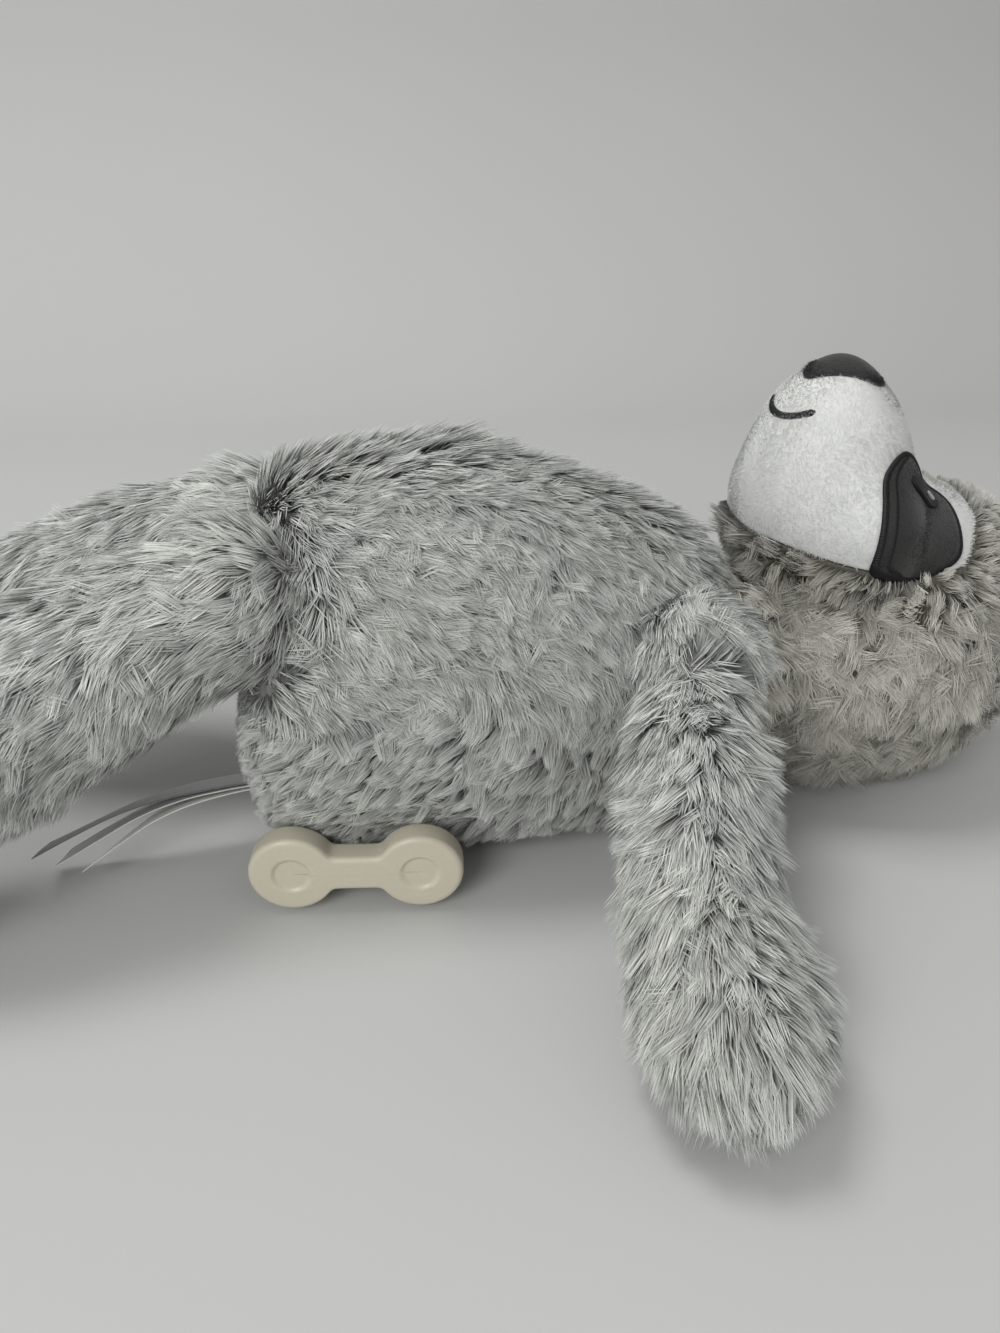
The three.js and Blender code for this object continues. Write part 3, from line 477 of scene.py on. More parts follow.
def head_reach(direction, neck=True):
    """How far the head goes each way: a soft maximum of skull, jaw, brow, muzzle dome and neck ball."""
    forms = [(SKULL, SKULL_RADII), (DOME, DOME_RADII), (JAW, JAW_RADII), (BROW, BROW_RADII)]
    reaches = [wall_distance(direction, centre, radii) for centre, radii in forms]
    if neck:
        reaches.append(np.maximum(wall_distance(direction, NECK, NECK_RADIUS * np.ones(3)), 0))
    return sum(np.maximum(r, 0) ** CREASE_SHARPNESS for r in reaches) ** (1 / CREASE_SHARPNESS)


def head_place(polar, azimuth, lift=0.0):
    """The head's wall in each direction, drawn unturned, its nape narrowed towards the floor."""
    level = np.sin(polar)
    direction = np.stack([level * np.cos(azimuth), level * np.sin(azimuth), np.cos(polar)], -1)
    p = HEART + direction * (head_reach(direction) + lift)[..., None]
    depth = np.clip((SKULL[2] - p[..., 2]) / SKULL_RADII[2], 0, None)
    p[..., 1] *= 1 - NAPE_TAPER * depth
    p[..., 2] = np.maximum(p[..., 2], -lift)
    return p


def turned(p):
    """Turns points about the upright axis through the neck, as the head is turned on the body."""
    return NECK + about_z(p - NECK, HEAD_TURN)


def above_seam(p):
    """Height over the seam where the hood meets the face, in the unturned head: the lower of the heights
    over two sloping planes, the steeper one at the brow."""
    cheek = np.array([math.sin(FACE_SEAM_TILT), 0, math.cos(FACE_SEAM_TILT)])
    brow = np.array([math.sin(BROW_SEAM_TILT), 0, math.cos(BROW_SEAM_TILT)])
    over_cheek = (p - np.array([SKULL[0], 0, FACE_SEAM_Z])) @ cheek
    return np.minimum(over_cheek, (p - BROW_SEAM_PLACE) @ brow)


def seam_polar(azimuth, lift):
    """The polar angle at which each azimuth meets the seam."""
    over = lambda polar: above_seam(head_place(polar, azimuth, lift)) > 0
    return halved(np.zeros_like(azimuth), WIDEST_POLAR, 24, over)


def face_surface(s, t, lift=0.0):
    """From the muzzle's top, s = 0, to the seam, s = 1, round the head with t."""
    azimuth = 2 * np.pi * t
    return turned(head_place(s * seam_polar(azimuth, lift), azimuth, lift))


def hood_surface(s, t, lift=0.0):
    """From the seam, s = 0, round the back of the head to the nape's lowest point, s = 1."""
    azimuth = 2 * np.pi * t
    edge = seam_polar(azimuth, lift)
    return turned(head_place(edge + (np.pi - edge) * s, azimuth, lift))


# %% Limbs
ARM_SHARES = [
    [0.14, 0.7], [0.3, 0.8], [0.45, 0.84], [0.6, 0.88],
    [0.74, 0.98], [0.85, 1], [0.93, 0.86], [0.98, 0.5],
]
LEG_SHARES = [
    [0.13, 0.86], [0.26, 0.95], [0.42, 0.98], [0.58, 0.95],
    [0.72, 0.96], [0.84, 1], [0.93, 0.88], [0.98, 0.52],
]
ARM_DROOP = [[0, 0, 0], [0.3, 0.16, 0.7], [0.62, 0.6, 1], [1, 1, 0.2]]
LEG_DROOP = [[0, 0, 0], [0.3, 0.24, 0], [0.6, 0.58, 0], [0.82, 0.86, 0], [1, 1, 0]]
ROOT_SHARES = [0.2, 0.4, 0.55]


def limb_axis(root, outward, reach, drop, bow, droop):
    """A smooth line from the root that goes out by reach, down by drop and aside by bow, and its length so
    far."""
    table = [
        root + out * reach * outward + np.array([aside * bow, 0, -fall * drop])
        for out, fall, aside in droop
    ]
    line = through(table, np.linspace(0, len(table) - 1, 400))
    so_far = length_so_far(line)
    return line, so_far / so_far[-1]


def limb_stations(root, ball_radius, outward, reach, bow, droop, shares, width):
    """Middle, direction and radius from the ball at the root to the rounded tip."""
    line, so_far = limb_axis(root, outward, reach, root[2] - width / 2 + FLOOR_FLAT, bow, droop)
    middle = lambda share: along_line(line, so_far, share)
    first = unit(line[4] - line[0])
    rows = []
    for share in [0.04] + ROOT_SHARES:
        angle = math.pi * share
        place = root - first * ball_radius * math.cos(angle)
        rows.append([*place, *first, ball_radius * math.sin(angle)])
    for share, across in shares + [[0.995, 0.24]]:
        along = unit(middle(min(share + 0.02, 1)) - middle(share - 0.02))
        rows.append([*middle(share), *along, across * width / 2])
    return np.array(rows)


def limb_surface(stations):
    """Rings round the limb's line: across is level, up is square to it and to the line's direction."""

    def surface(s, t, inset=0.0):
        rows = through(stations, s * (len(stations) - 1))
        middle, along, radius = rows[:, :3], unit(rows[:, 3:6]), np.maximum(rows[:, 6] - inset, THINNEST)
        across = unit(np.cross([0, 0, 1], along))
        up = np.cross(along, across)
        angle = 2 * np.pi * t
        p = middle + radius[:, None] * (np.cos(angle)[:, None] * across + np.sin(angle)[:, None] * up)
        p[:, 2] = np.maximum(p[:, 2], inset)
        return p

    return surface


ARM_REACH, ARM_WIDTH, ARM_HEADWARD, ARM_BOW = 86 * MM, 29 * MM, -8 / 86, -5 * MM
LEG_REACH, LEG_WIDTH, LEG_SPLAY = 124 * MM, 38 * MM, 32 / 124
ARM_FORM = (ARM_REACH, ARM_BOW, ARM_DROOP, ARM_SHARES, ARM_WIDTH)
LEG_FORM = (LEG_REACH, 0, LEG_DROOP, LEG_SHARES, LEG_WIDTH)
limbs = {}
for word, side in SIDES.items():
    arm_out, leg_out = np.array([ARM_HEADWARD, side, 0]), np.array([-1, side * LEG_SPLAY, 0])
    limbs[f"arm_{word}"] = limb_stations(SHOULDERS[word], SHOULDER_RADIUS, arm_out, *ARM_FORM)
    limbs[f"leg_{word}"] = limb_stations(HIPS[word], HIP_RADIUS, leg_out, *LEG_FORM)

# %% [markdown]
# Each cover is a closed skin over those forms. A real cover is cut from flat fur fabric and sewn, so the
# skin pulls in along its seams and swells between them. The skin is mostly hidden by its own pile, but it
# carries the roots of the strands and closes the gaps between them. The filling inside each cover is a
# second, smaller form with the matt look of loose fibre.

# %% Filling
s = Shader("fibre_filling")
fibre = s.noise(s.place(), 420.0, detail=5.0, roughness=0.7)
FILLING = s.dyed(fibre, linear(214, 212, 204), linear(246, 245, 240), 0.6, 0.0006, Roughness=1.0)
WALL = 2.9 * MM
SKIN_SPAN = (0.012, 0.988)
FACE_SPAN = (0.02, 0.995)


def dress(piece, material, body, slot, *nodes):
    """Gives a piece its material, the body that it moves with, and the CAD nodes that it stands for."""
    piece.data.materials.append(material)
    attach(piece, body)
    if nodes:
        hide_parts(*nodes)
    return piece


# %% Skins


def skin(name, rings, material, body, slot, node):
    """A closed skin that stands for a cover, and is declared as filled."""
    dress(tube_mesh(name, rings), material, body, slot, node)


def filling(body, rings):
    """The loose fibre inside a cover."""
    dress(tube_mesh(f"{body}_filling", rings), FILLING, body, "stuffing", f"{body}_stuffing")


def rings_of(surface, rows, columns, **more):
    """Rings nearly to both ends of a form, which their fans close."""
    return grid_of(surface, rows, columns, *SKIN_SPAN, **more)[:, ::-1]


torso_rings = rings_of(torso_surface, 96, 112)
skin("torso_skin", torso_rings, GREY_BACKING, "torso", "grey_fur", "torso_cover")
for limb, stations in limbs.items():
    surface = limb_surface(stations)
    limb_rings = rings_of(surface, 84, 56)
    skin(f"{limb}_skin", limb_rings, GREY_BACKING, limb, "grey_fur", f"{limb}_cover")
    filling(limb, rings_of(surface, 40, 28, inset=WALL))
filling("torso", rings_of(torso_surface, 48, 48, inset=WALL))
print("skins of the torso and", ", ".join(limbs))

# %% [markdown]
# The head is one form in two fabrics. The hood is long-pile fur like the body, and the face is a short
# white plush with a round muzzle. They meet in a sloping seam, and each skin closes over it with a flat
# end, a seam's width from the other.

# %% Head skins
s = Shader("white_minky")
speck = s.noise(s.place(), 700.0, detail=3.0, roughness=0.6)
clouded = speck * 0.5 + s.noise(s.place(), 30.0) * 0.3
sheen = {"Roughness": 0.85, "Sheen_Weight": 0.3, "Sheen_Roughness": 0.6}
WHITE_PLUSH = s.dyed(clouded, linear(208, 209, 206), linear(220, 221, 218), 0.12, 0.0003, speck, **sheen)


def capped(rings, inner_shares=(0.96, 0.6, 0.25)):
    """Adds rings that shrink towards the first ring's middle, so that the skin closes over its seam."""
    middle = rings[0].mean(0)
    inner = np.stack([middle + (rings[0] - middle) * share for share in inner_shares[::-1]])
    return np.concatenate([inner, rings])


SEAM_LIFT = np.array([0, 0, 0.3 * MM])
hood_rings = capped(grid_of(hood_surface, 72, 112, 0.0, 0.985))[::-1]
skin("hood_skin", hood_rings, HOOD_BACKING, "head", "hood_fur", "head_cover")
face_rings = capped((grid_of(face_surface, 72, 112, *FACE_SPAN) + SEAM_LIFT)[::-1])
skin("face_skin", face_rings, WHITE_PLUSH, "head", "face_plush", "face_panel")
head_core = [
    grid_of(face_surface, 30, 36, 0.03, 0.99, lift=-WALL),
    grid_of(hood_surface, 30, 36, 0.03, 0.98, lift=-WALL),
]
filling("head", np.concatenate(head_core)[::-1])

# %% [markdown]
# Fur is thousands of narrow strips, each two segments long and pointed. Roots are scattered evenly over
# the skin, and strands near each other lean together into tufts, which gives plush its streaks. The nap is
# the direction in which the pile was brushed: it runs off the belly, down the flank and along the limbs.
# Lengths of pile are in millimetres. Of each pair of seeds, one spreads roots and one varies strands.

# %% Roots on a skin


def wrapped(grid):
    """A grid of rings with its first column once more at the end."""
    return np.concatenate([grid, grid[:, :1]], 1)


def scattered(grid, count, weight, seed):
    """Roots spread by area: a cell is drawn with the chance of its area times its weight, and the root lies
    at a random place in it. Gives places, normals, both grid directions and the s and t shares."""
    random = np.random.default_rng(seed)
    a, b, c, d = grid[:-1, :-1], grid[:-1, 1:], grid[1:, :-1], grid[1:, 1:]
    along, round_ = (c + d - a - b) / 2, (b + d - a - c) / 2
    normal = np.cross(round_, along)
    normal *= np.sign((normal * (a - grid.mean((0, 1)))).sum())
    area = np.linalg.norm(normal, axis=-1)
    chance = (area * weight(a)).ravel()
    pick = random.choice(chance.size, count, p=chance / chance.sum())
    u, v = random.random((2, count, 1))
    take = lambda x: x.reshape(-1, 3)[pick]
    place = (take(a) * (1 - u) + take(b) * u) * (1 - v) + (take(c) * (1 - u) + take(d) * u) * v
    rows, columns = area.shape
    s = (pick // columns + v[:, 0]) / rows
    t = (pick % columns + u[:, 0]) / columns
    return place, unit(take(normal)), unit(take(along)), unit(take(round_)), s, t


def roots_of_part(grid, part, weight, seed):
    """Roots on some columns of a grid of rings, with t as a share of the whole way round. A part is its
    name, its first and last column and its number of strands."""
    _, first, last, strands = part
    *roots, t = scattered(grid[:, first : last + 1], strands, weight, seed)
    return *roots, (first + t * (last - first)) / (grid.shape[1] - 1)


def swirl(p, size, seed):
    """A smooth field between about -1 and 1: a sum of four sine waves in different directions."""
    random = np.random.default_rng(seed)
    waves = unit(random.normal(size=(4, 3))) * random.uniform(0.7, 1.6, (4, 1)) * 2 * np.pi / size
    return np.sin(p @ waves.T + random.uniform(0, 6.3, 4)).sum(-1) / 2.2


def nearest(points, centres):
    """For each point the nearest centre, in blocks, from |p|^2 - 2 p.c + |c|^2."""
    found = np.empty(len(points), int)
    square = (centres**2).sum(-1)
    for start in range(0, len(points), 4000):
        block = points[start : start + 4000]
        found[start : start + 4000] = (square - 2 * block @ centres.T).argmin(1)
    return found


# %% Strands
TORSO_PILE, LIMB_PILE, HOOD_PILE, FACE_PILE = 8.2, 9.5, 9.2, 1.3
TORSO_SEEDS, LIMB_SEEDS, HOOD_SEEDS, FACE_SEEDS = (20, 30), (60, 80), (110, 120), (140, 141)
LYING_OVER, SINKING, RIPPLES = 0.45, 0.12, 5
LIFT_SPREAD, LEAST_LIFT, MOST_LIFT, ROLL_SPREAD = 0.07, 0.1, 0.95, 0.5
ROOT_DEPTH, FLOOR_GAP = 0.5 * MM, 0.25
STEPS = np.array([0.0, 0.55, 1.0])
STRIP_STEPS = [0, 0, 1, 1, 2]
STRIP_FACES = np.array([[0, 1, 3], [0, 3, 2], [2, 3, 4]])
STRIP_CELL = np.array([[0.25, 0.05], [0.75, 0.05], [0.25, 0.5], [0.75, 0.5], [0.5, 0.95]])
SLIVER_CELL = np.array([[0.2, 0.1], [0.8, 0.1], [0.5, 0.9]])


def soft_normals(piece, normals):
    """Shades each strand much as the skin under it, so that pile looks soft and not like cut paper."""
    piece.data.normals_split_custom_set_from_vertices(unit(normals).tolist())


def bake_cells(piece, count, shape, faces):
    """A UV map in which each strand has a square of its own, so that its colours can be baked."""
    cells = math.ceil(math.sqrt(count))
    cell = np.stack([np.arange(count) % cells, np.arange(count) // cells], -1)[:, None]
    add_uv(piece.data, "OFBake", ((cell + shape[None]) / cells).reshape(-1, 2), faces)


def flattened(lean, normal):
    """The part of a direction that lies in the skin, as a unit vector."""
    return unit(lean - (lean * normal).sum(-1, keepdims=True) * normal)


def swung(lean, normal, turn):
    """A direction in the skin turned about the normal: lean * cos + (normal x lean) * sin."""
    return lean * np.cos(turn) + np.cross(normal, lean) * np.sin(turn)


def strand_lines(place, lean, rise, length, normal, curl, random):
    """Each strand rises along rise and lean, then lies over: place + length * (t * (rise + lean) + t^2 *
    bend), with a small sideways wave."""
    t = STEPS[None, :, None]
    lying = rise[:, None] + lean[:, None]
    bend = LYING_OVER * lean[:, None] - normal[:, None] * SINKING
    side = unit(np.cross(normal, lean))[:, None]
    wave = np.sin(t * RIPPLES + random.uniform(0, 6.3, (len(place), 1, 1))) * curl * t
    return place[:, None] + length[:, None, None] * (t * lying + t * t * bend + wave * side)


def pile(name, roots, nap, length, lift, look, seed, tuft, stray, gather=0.6, width=0.3, curl=0.05,
         keep_out=None):
    """Makes one piece of fur. nap gives the direction to lie in, lift how upright a strand stands, and look
    the material, the body and the slot. Tufts of about tuft strands turn aside by stray, and their strands
    lean to the middle one by gather."""
    random = np.random.default_rng(seed)
    place, normal = roots[:2]
    lean = flattened(nap(*roots), normal)
    count = len(place)
    centre = random.choice(count, count // tuft, replace=False)
    mine = nearest(place, place[centre])
    aside = random.normal(0, stray[0], len(centre))[mine] + random.normal(0, stray[1], count)
    lean = unit(swung(lean, normal, aside[:, None]))
    tuft_shade, tuft_length = random.random(len(centre))[mine], random.uniform(0.8, 1.15, len(centre))[mine]
    size = length * tuft_length * random.uniform(0.82, 1.1, count)
    upright = np.clip(lift + random.normal(0, LIFT_SPREAD, count), LEAST_LIFT, MOST_LIFT)
    rise = normal * upright[:, None]
    flat = lean * np.sqrt(1 - upright**2)[:, None]
    own = strand_lines(place - normal * ROOT_DEPTH, flat, rise, size, normal, curl, random)
    middle = place[centre][mine]
    guide = own[centre][mine] - middle[:, None] + place[:, None]
    share = gather * STEPS[None, :, None] ** 1.3
    line = own * (1 - share) + guide * share + (middle - place)[:, None] * share * 0.9
    if keep_out is not None:
        line = keep_out(line)
    line[..., 2] = np.maximum(line[..., 2], (FLOOR_GAP + 0.5 * random.random((count, 1))) * MM)
    step = unit(line[:, 1:] - line[:, :-1])
    step = np.concatenate([step, step[:, -1:]], 1)
    roll = random.normal(0, ROLL_SPREAD, count)[:, None, None]
    flat_side = unit(np.cross(step, normal[:, None]))
    edge = flat_side * np.cos(roll) + np.cross(step, flat_side) * np.sin(roll)
    half = 0.5 * width * MM * random.uniform(0.7, 1.25, count)[:, None, None]
    left, right = line[:, :2] - edge[:, :2] * half, line[:, :2] + edge[:, :2] * half
    points = np.concatenate([np.stack([left, right], 2).reshape(count, 4, 3), line[:, 2:]], 1)
    faces = (np.arange(count)[:, None, None] * len(STRIP_CELL) + STRIP_FACES).reshape(-1, 3)
    piece = mesh_piece(name, points.reshape(-1, 3), faces)
    facing = np.cross(edge, step)
    facing *= np.where((facing * normal[:, None]).sum(-1, keepdims=True) < 0, -1, 1)
    shading = 0.75 * normal[:, None] + 0.45 * facing + 0.25 * step
    soft_normals(piece, shading[:, STRIP_STEPS].reshape(-1, 3))
    dress(piece, *look)
    marks = np.ones((count, len(STRIP_CELL), 4), np.float32)
    marks[..., 0] = STEPS[STRIP_STEPS]
    marks[..., 1] = random.random((count, 1))
    marks[..., 2] = tuft_shade[:, None]
    layer = piece.data.color_attributes.new("pile", "FLOAT_COLOR", "POINT")
    layer.data.foreach_set("color", marks.ravel())
    bake_cells(piece, count, STRIP_CELL, faces)
    print(name, count, "strands")


# %% [markdown]
# Where a limb or the neck is sewn in, no pile grows: its roots are left out inside the other form. Pile is
# also thinner near the floor, where the toy lies on it.

# %% Where pile grows
BALL_MARGIN = 0.3 * MM


def inside_balls(p):
    """Whether a point lies in one of the root balls, or just outside."""
    hit = np.zeros(p.shape[:-1], bool)
    for centre, radius in ROOT_BALLS:
        hit |= ((p - centre) ** 2).sum(-1) < (radius + BALL_MARGIN) ** 2
    return hit


TORSO_PROFILE = np.stack(torso_station(np.linspace(0, 1, 200), 0.0), -1)


def depth_in_torso(p):
    """How deep a point lies in the torso, as a share: above 0 inside, from its ring's ellipse."""
    x, half, top, under = (np.interp(p[..., 0], TORSO_PROFILE[:, 0], TORSO_PROFILE[:, k]) for k in range(4))
    across = (p[..., 1] / half) ** 2 + ((p[..., 2] - (top + under) / 2) / ((top - under) / 2)) ** 2
    beyond = (p[..., 0] < TORSO_PROFILE[0, 0]) | (p[..., 0] > TORSO_PROFILE[-1, 0])
    return np.where(beyond, -1, 1 - across)


def root_weight(low, high, least, hidden):
    """A weight for scattered: 0 where hidden, and else from least, below the height low, to 1."""
    return lambda p: np.where(hidden(p), 0.0, smooth(p[..., 2], low, high) * (1 - least) + least)


def shallow(deepest):
    """Roots go down to a depth in the torso, from where a limb that swings up brings them out."""
    return lambda p: depth_in_torso(p) > deepest


torso_weight = root_weight(0.5 * MM, 6 * MM, 0.25, inside_balls)
arm_weight = root_weight(0.5 * MM, 5 * MM, 0.3, shallow(0.3))
leg_weight = root_weight(0.5 * MM, 5 * MM, 0.3, shallow(0.2))
hood_weight = root_weight(0.3 * MM, 5 * MM, 0.25, shallow(0.03))

# %% Torso fur
REAR_SEAM_LEAN = np.array([-0.9, 0.0, -1.0])
PRESSED_MIDDLE, PRESSED_HALF = -40 * MM, 28 * MM
PRESSED_TOP, PRESSED_BACK, FROM_ABOVE = 23.4 * MM, -36.2 * MM, 25 * MM


def near_rear_seam(p):
    """1 along the upright seam at the torso's rear corner, where the pile is pressed flat."""
    return smooth(p[..., 0], -56 * MM, -61 * MM) * smooth(p[..., 2], 84 * MM, 70 * MM)


def torso_nap(p, normal, *_):
    """Off the belly, downwards and towards the head above the side seam; back and down below it. Near the
    hips it leans over their crease."""
    side = np.tanh(p[:, 1:2] / (12 * MM))
    x = smooth(p[:, 0:1], -50 * MM, 45 * MM)
    upper = np.concatenate([0.95 - 0.6 * x, side * 0.4, -0.45 - 0.4 * x], 1)
    lower = np.concatenate([-0.85 + 0.35 * x, side * 0.1, -0.42 - 0.25 * x], 1)
    over = smooth(p[:, 2:3] + 6 * MM * swirl(p, 60 * MM, 3)[:, None], 50 * MM, 64 * MM)
    lean = unit(upper * over + lower * (1 - over))
    lean = unit(lean + (REAR_SEAM_LEAN - lean) * near_rear_seam(p)[:, None])
    for hip in HIPS.values():
        near = smooth(np.linalg.norm(p - hip, axis=1), HIP_RADIUS + 8 * MM, HIP_RADIUS + 2 * MM)
        lean = unit(lean + (unit(hip - p) - lean) * near[:, None])
    return swung(lean, normal, 0.22 * swirl(p, 34 * MM, 5)[:, None])


def round_handle(line):
    """Strands end behind the pull handle, where it presses on the flank, and those from above lie on it."""
    x, y, z = line[..., 0], line[..., 1], line[..., 2]
    near = (np.abs(x - PRESSED_MIDDLE) < PRESSED_HALF) & (z < PRESSED_TOP) & (y < PRESSED_BACK)
    above = near & (line[:, :1, 2] > FROM_ABOVE)
    line[..., 2] = np.where(above, PRESSED_TOP + 0.1 * (PRESSED_TOP - z), z)
    line[..., 1] = np.where(near & ~above, PRESSED_BACK + 0.15 * (y - PRESSED_BACK), y)
    return line


TORSO_LOOK = (GREY_FUR, "torso", "grey_fur")
TORSO_PARTS = [
    ("far_flank", 0, 72, 43000),
    ("belly", 72, 116, 60000),
    ("near_flank", 116, 190, 64000),
    ("back", 190, 240, 8000),
]
ring = wrapped(grid_of(torso_surface, 160, 240, 0.01, 0.99))
for number, part in enumerate(TORSO_PARTS):
    roots = roots_of_part(ring, part, torso_weight, TORSO_SEEDS[0] + number)
    place = roots[0]
    length = (TORSO_PILE + 0.8 * swirl(place, 40 * MM, 8)) * MM
    length = length * (0.8 + 0.2 * smooth(place[:, 2], 5 * MM, 30 * MM))
    length *= 1 + 0.18 * smooth(place[:, 2], 84 * MM, 98 * MM) * smooth(place[:, 0], 5 * MM, -15 * MM)
    from_hip = np.min([np.linalg.norm(place - hip, axis=1) for hip in HIPS.values()], 0)
    stand, tuft, gather = (0.7, 30, 0.72) if part[0] == "near_flank" else (0.64, 16, 0.6)
    lift = stand - 0.14 * smooth(from_hip, HIP_RADIUS + 9 * MM, HIP_RADIUS + 2 * MM)
    pile(f"torso_fur_{part[0]}", roots, torso_nap, length, lift, TORSO_LOOK, TORSO_SEEDS[1] + number, tuft,
         stray=(0.36, 0.2), gather=gather, keep_out=round_handle)

# %% Limb fur


def arm_nap(lean, p, normal, s, side):
    """Over the top of an arm's root it runs down like the torso's pile, and it fans out at the shoulder."""
    over_top = smooth(s, 0.36, 0.24) * smooth(normal[:, 2], 0.05, 0.4)
    lean = lean + (np.array([0.35, side * 0.4, -0.85]) - lean) * over_top[:, None]
    middle = SHOULDERS["left"] * [1, -side, 1] + np.array([-4.5, side * 14.5, 3.5]) * MM
    away = p - middle
    fan = smooth(np.linalg.norm(away, axis=1), 16 * MM, 10 * MM) * smooth(away[:, 0], -5 * MM, 2 * MM)
    return lean + (unit(away) - lean) * fan[:, None]


def limb_nap(p, normal, along, round_, s, t):
    """Along the limb to its tip, and off its top line to both sides."""
    off_top = np.sin(2 * np.pi * (t - 0.25))[:, None]
    outwards = unit(np.stack([np.median(p[s > 0.6] - p[s < 0.2].mean(0), 0)]))
    is_arm = abs(outwards[0, 1]) > abs(outwards[0, 0])
    lean = unit(along + round_ * off_top * (0.9 if is_arm else 0.5))
    lean = lean + (outwards - lean) * smooth(s, 0.42, 0.22)[:, None]
    if is_arm:
        lean = arm_nap(lean, p, normal, s, np.sign(outwards[0, 1]))
    return swung(flattened(lean, normal), normal, 0.3 * swirl(p, 26 * MM, 11)[:, None])


LIMB_COLUMNS = 110
LEG_PARTS = [("_upper", 0, 56, 44000), ("_lower", 55, LIMB_COLUMNS, 31000)]
LIMB_PARTS = {
    "arm_left": [("", 0, LIMB_COLUMNS, 62000)],
    "arm_right": [("", 0, LIMB_COLUMNS, 54000)],
    "leg_left": LEG_PARTS,
    "leg_right": LEG_PARTS,
}
ARM_FUR, LEG_FUR = (arm_weight, 0.58, 1.5, 0.7), (leg_weight, 0.53, 0.5, 0.85)


def fur_of_limb(name, limb, roots, seed, stand, swell, at_root):
    """Strands stand up by stand. Their length swells by so many mm to the tip, and at_root is its share at
    the root, where the limb meets the torso's pile."""
    s = roots[4]
    length = (LIMB_PILE + swell * smooth(s, 0.7, 0.97) + 1.0 * swirl(roots[0], 30 * MM, 9)) * MM
    length *= at_root + (1 - at_root) * smooth(s, 0.24, 0.36)
    lift = stand - 0.06 * smooth(s, 0.35, 0.2)
    if limb.startswith("arm"):
        ridge = smooth(np.abs(roots[5] - 0.25), 0.1, 0.0)
        lift += 0.26 * ridge * smooth(s, 0.3, 0.42) * smooth(s, 0.9, 0.75)
    look = (GREY_FUR, limb, "grey_fur")
    pile(name, roots, limb_nap, length, lift, look, seed, tuft=20, stray=(0.26, 0.2), width=0.32)


for number, (limb, stations) in enumerate(limbs.items()):
    grid = wrapped(grid_of(limb_surface(stations), 150, LIMB_COLUMNS, *SKIN_SPAN))
    weight, *fur = ARM_FUR if limb.startswith("arm") else LEG_FUR
    for seed, part in enumerate(LIMB_PARTS[limb], 3 * number):
        roots = roots_of_part(grid, part, weight, LIMB_SEEDS[0] + seed)
        fur_of_limb(f"{limb}_fur{part[0]}", limb, roots, LIMB_SEEDS[1] + seed, *fur)

# %% Hood fur


def at_chin(t):
    """1 on the throat's side of the head, 0 at its flanks and crown. t is a share of the way round."""
    return smooth(-np.cos(2 * np.pi * t), 0.3, 0.85)


def hood_nap(p, normal, along, round_, s, t):
    """Towards the face at the chin's seam, away from it at the brow, then down and back. It swirls
    strongly, because this pile is ruffled."""
    start = 0.1 - 0.8 * at_chin(t)
    onwards = start + (1.2 - start) * smooth(s, 0.02, 0.16)
    lean = unit(along * onwards[:, None] + round_ * 0.5 * swirl(p, 40 * MM, 15)[:, None])
    return swung(lean, normal, 1.1 * swirl(p, 15 * MM, 14)[:, None])


hood_ring = wrapped(grid_of(hood_surface, 130, 200, 0.004, 0.985))
for number, part in enumerate([("far", 0, 100, 40000), ("near", 100, 200, 58000)]):
    roots = roots_of_part(hood_ring, part, hood_weight, HOOD_SEEDS[0] + number)
    place, s, t = roots[0], roots[4], roots[5]
    shorter = (1 - smooth(s, 0.0, 0.16)) * (0.42 - 0.3 * at_chin(t))
    length = (HOOD_PILE + 1.2 * swirl(place, 26 * MM, 18)) * MM * (1 - shorter)
    length *= 1 + 0.25 * smooth(place[:, 2], 42 * MM, 12 * MM)
    lift = 0.9 - 0.28 * smooth(s, 0.06, 0.25)
    look = (HOOD_FUR, "head", "hood_fur")
    pile(f"hood_fur_{part[0]}", roots, hood_nap, length, lift, look, HOOD_SEEDS[1] + number, tuft=26,
         stray=(0.6, 0.25), gather=0.62, curl=0.16)

# %% [markdown]
# The face is a short, dense plush. Its pile is too fine to see as hairs, but it softens the outline and
# blurs the edges of the dark patches, so it gets a thin layer of very short strands too.

# %% Short pile


def short_pile(name, place, normal, length, width, look, seed):
    """One pointed sliver a strand. Strands near each other lie the same way, in slow whirls."""
    random = np.random.default_rng(seed)
    count = len(place)
    lean = np.stack([swirl(place, 22 * MM, seed + k) for k in range(3)], -1)
    lean = flattened(lean + random.normal(0, 0.45, (count, 3)), normal)
    side = unit(np.cross(normal, lean)) * width * MM / 2
    tip = place + unit(0.6 * normal + lean) * (length * random.uniform(0.6, 1.1, count))[:, None]
    root = place - normal * 0.2 * MM
    points = np.stack([root + side, root - side, tip], 1).reshape(-1, 3)
    faces = np.arange(3 * count).reshape(-1, 3)
    piece = mesh_piece(name, points, faces)
    soft_normals(piece, np.repeat(normal - 0.2 * lean, 3, axis=0))
    dress(piece, *look)
    bake_cells(piece, count, SLIVER_CELL, faces)


face_ring = wrapped(grid_of(face_surface, 90, 140, *FACE_SPAN) + SEAM_LIFT)
roots = scattered(face_ring, 52000, lambda p: np.ones(p.shape[:-1]), FACE_SEEDS[0])
look = (WHITE_PLUSH, "head", "face_plush")
short_pile("face_pile", roots[0], roots[1], FACE_PILE * MM, width=0.22, look=look, seed=FACE_SEEDS[1])

# %% [markdown]
# Nose, mouth and eyes lie on the muzzle. Each is an outline drawn on a flat plane in front of the face and
# pushed onto its surface, so that it follows every curve. The outlines are in shares of each one's size.

# %% Onto the face
FARTHEST = 0.1
PATCH_GAP = 0.25 * MM


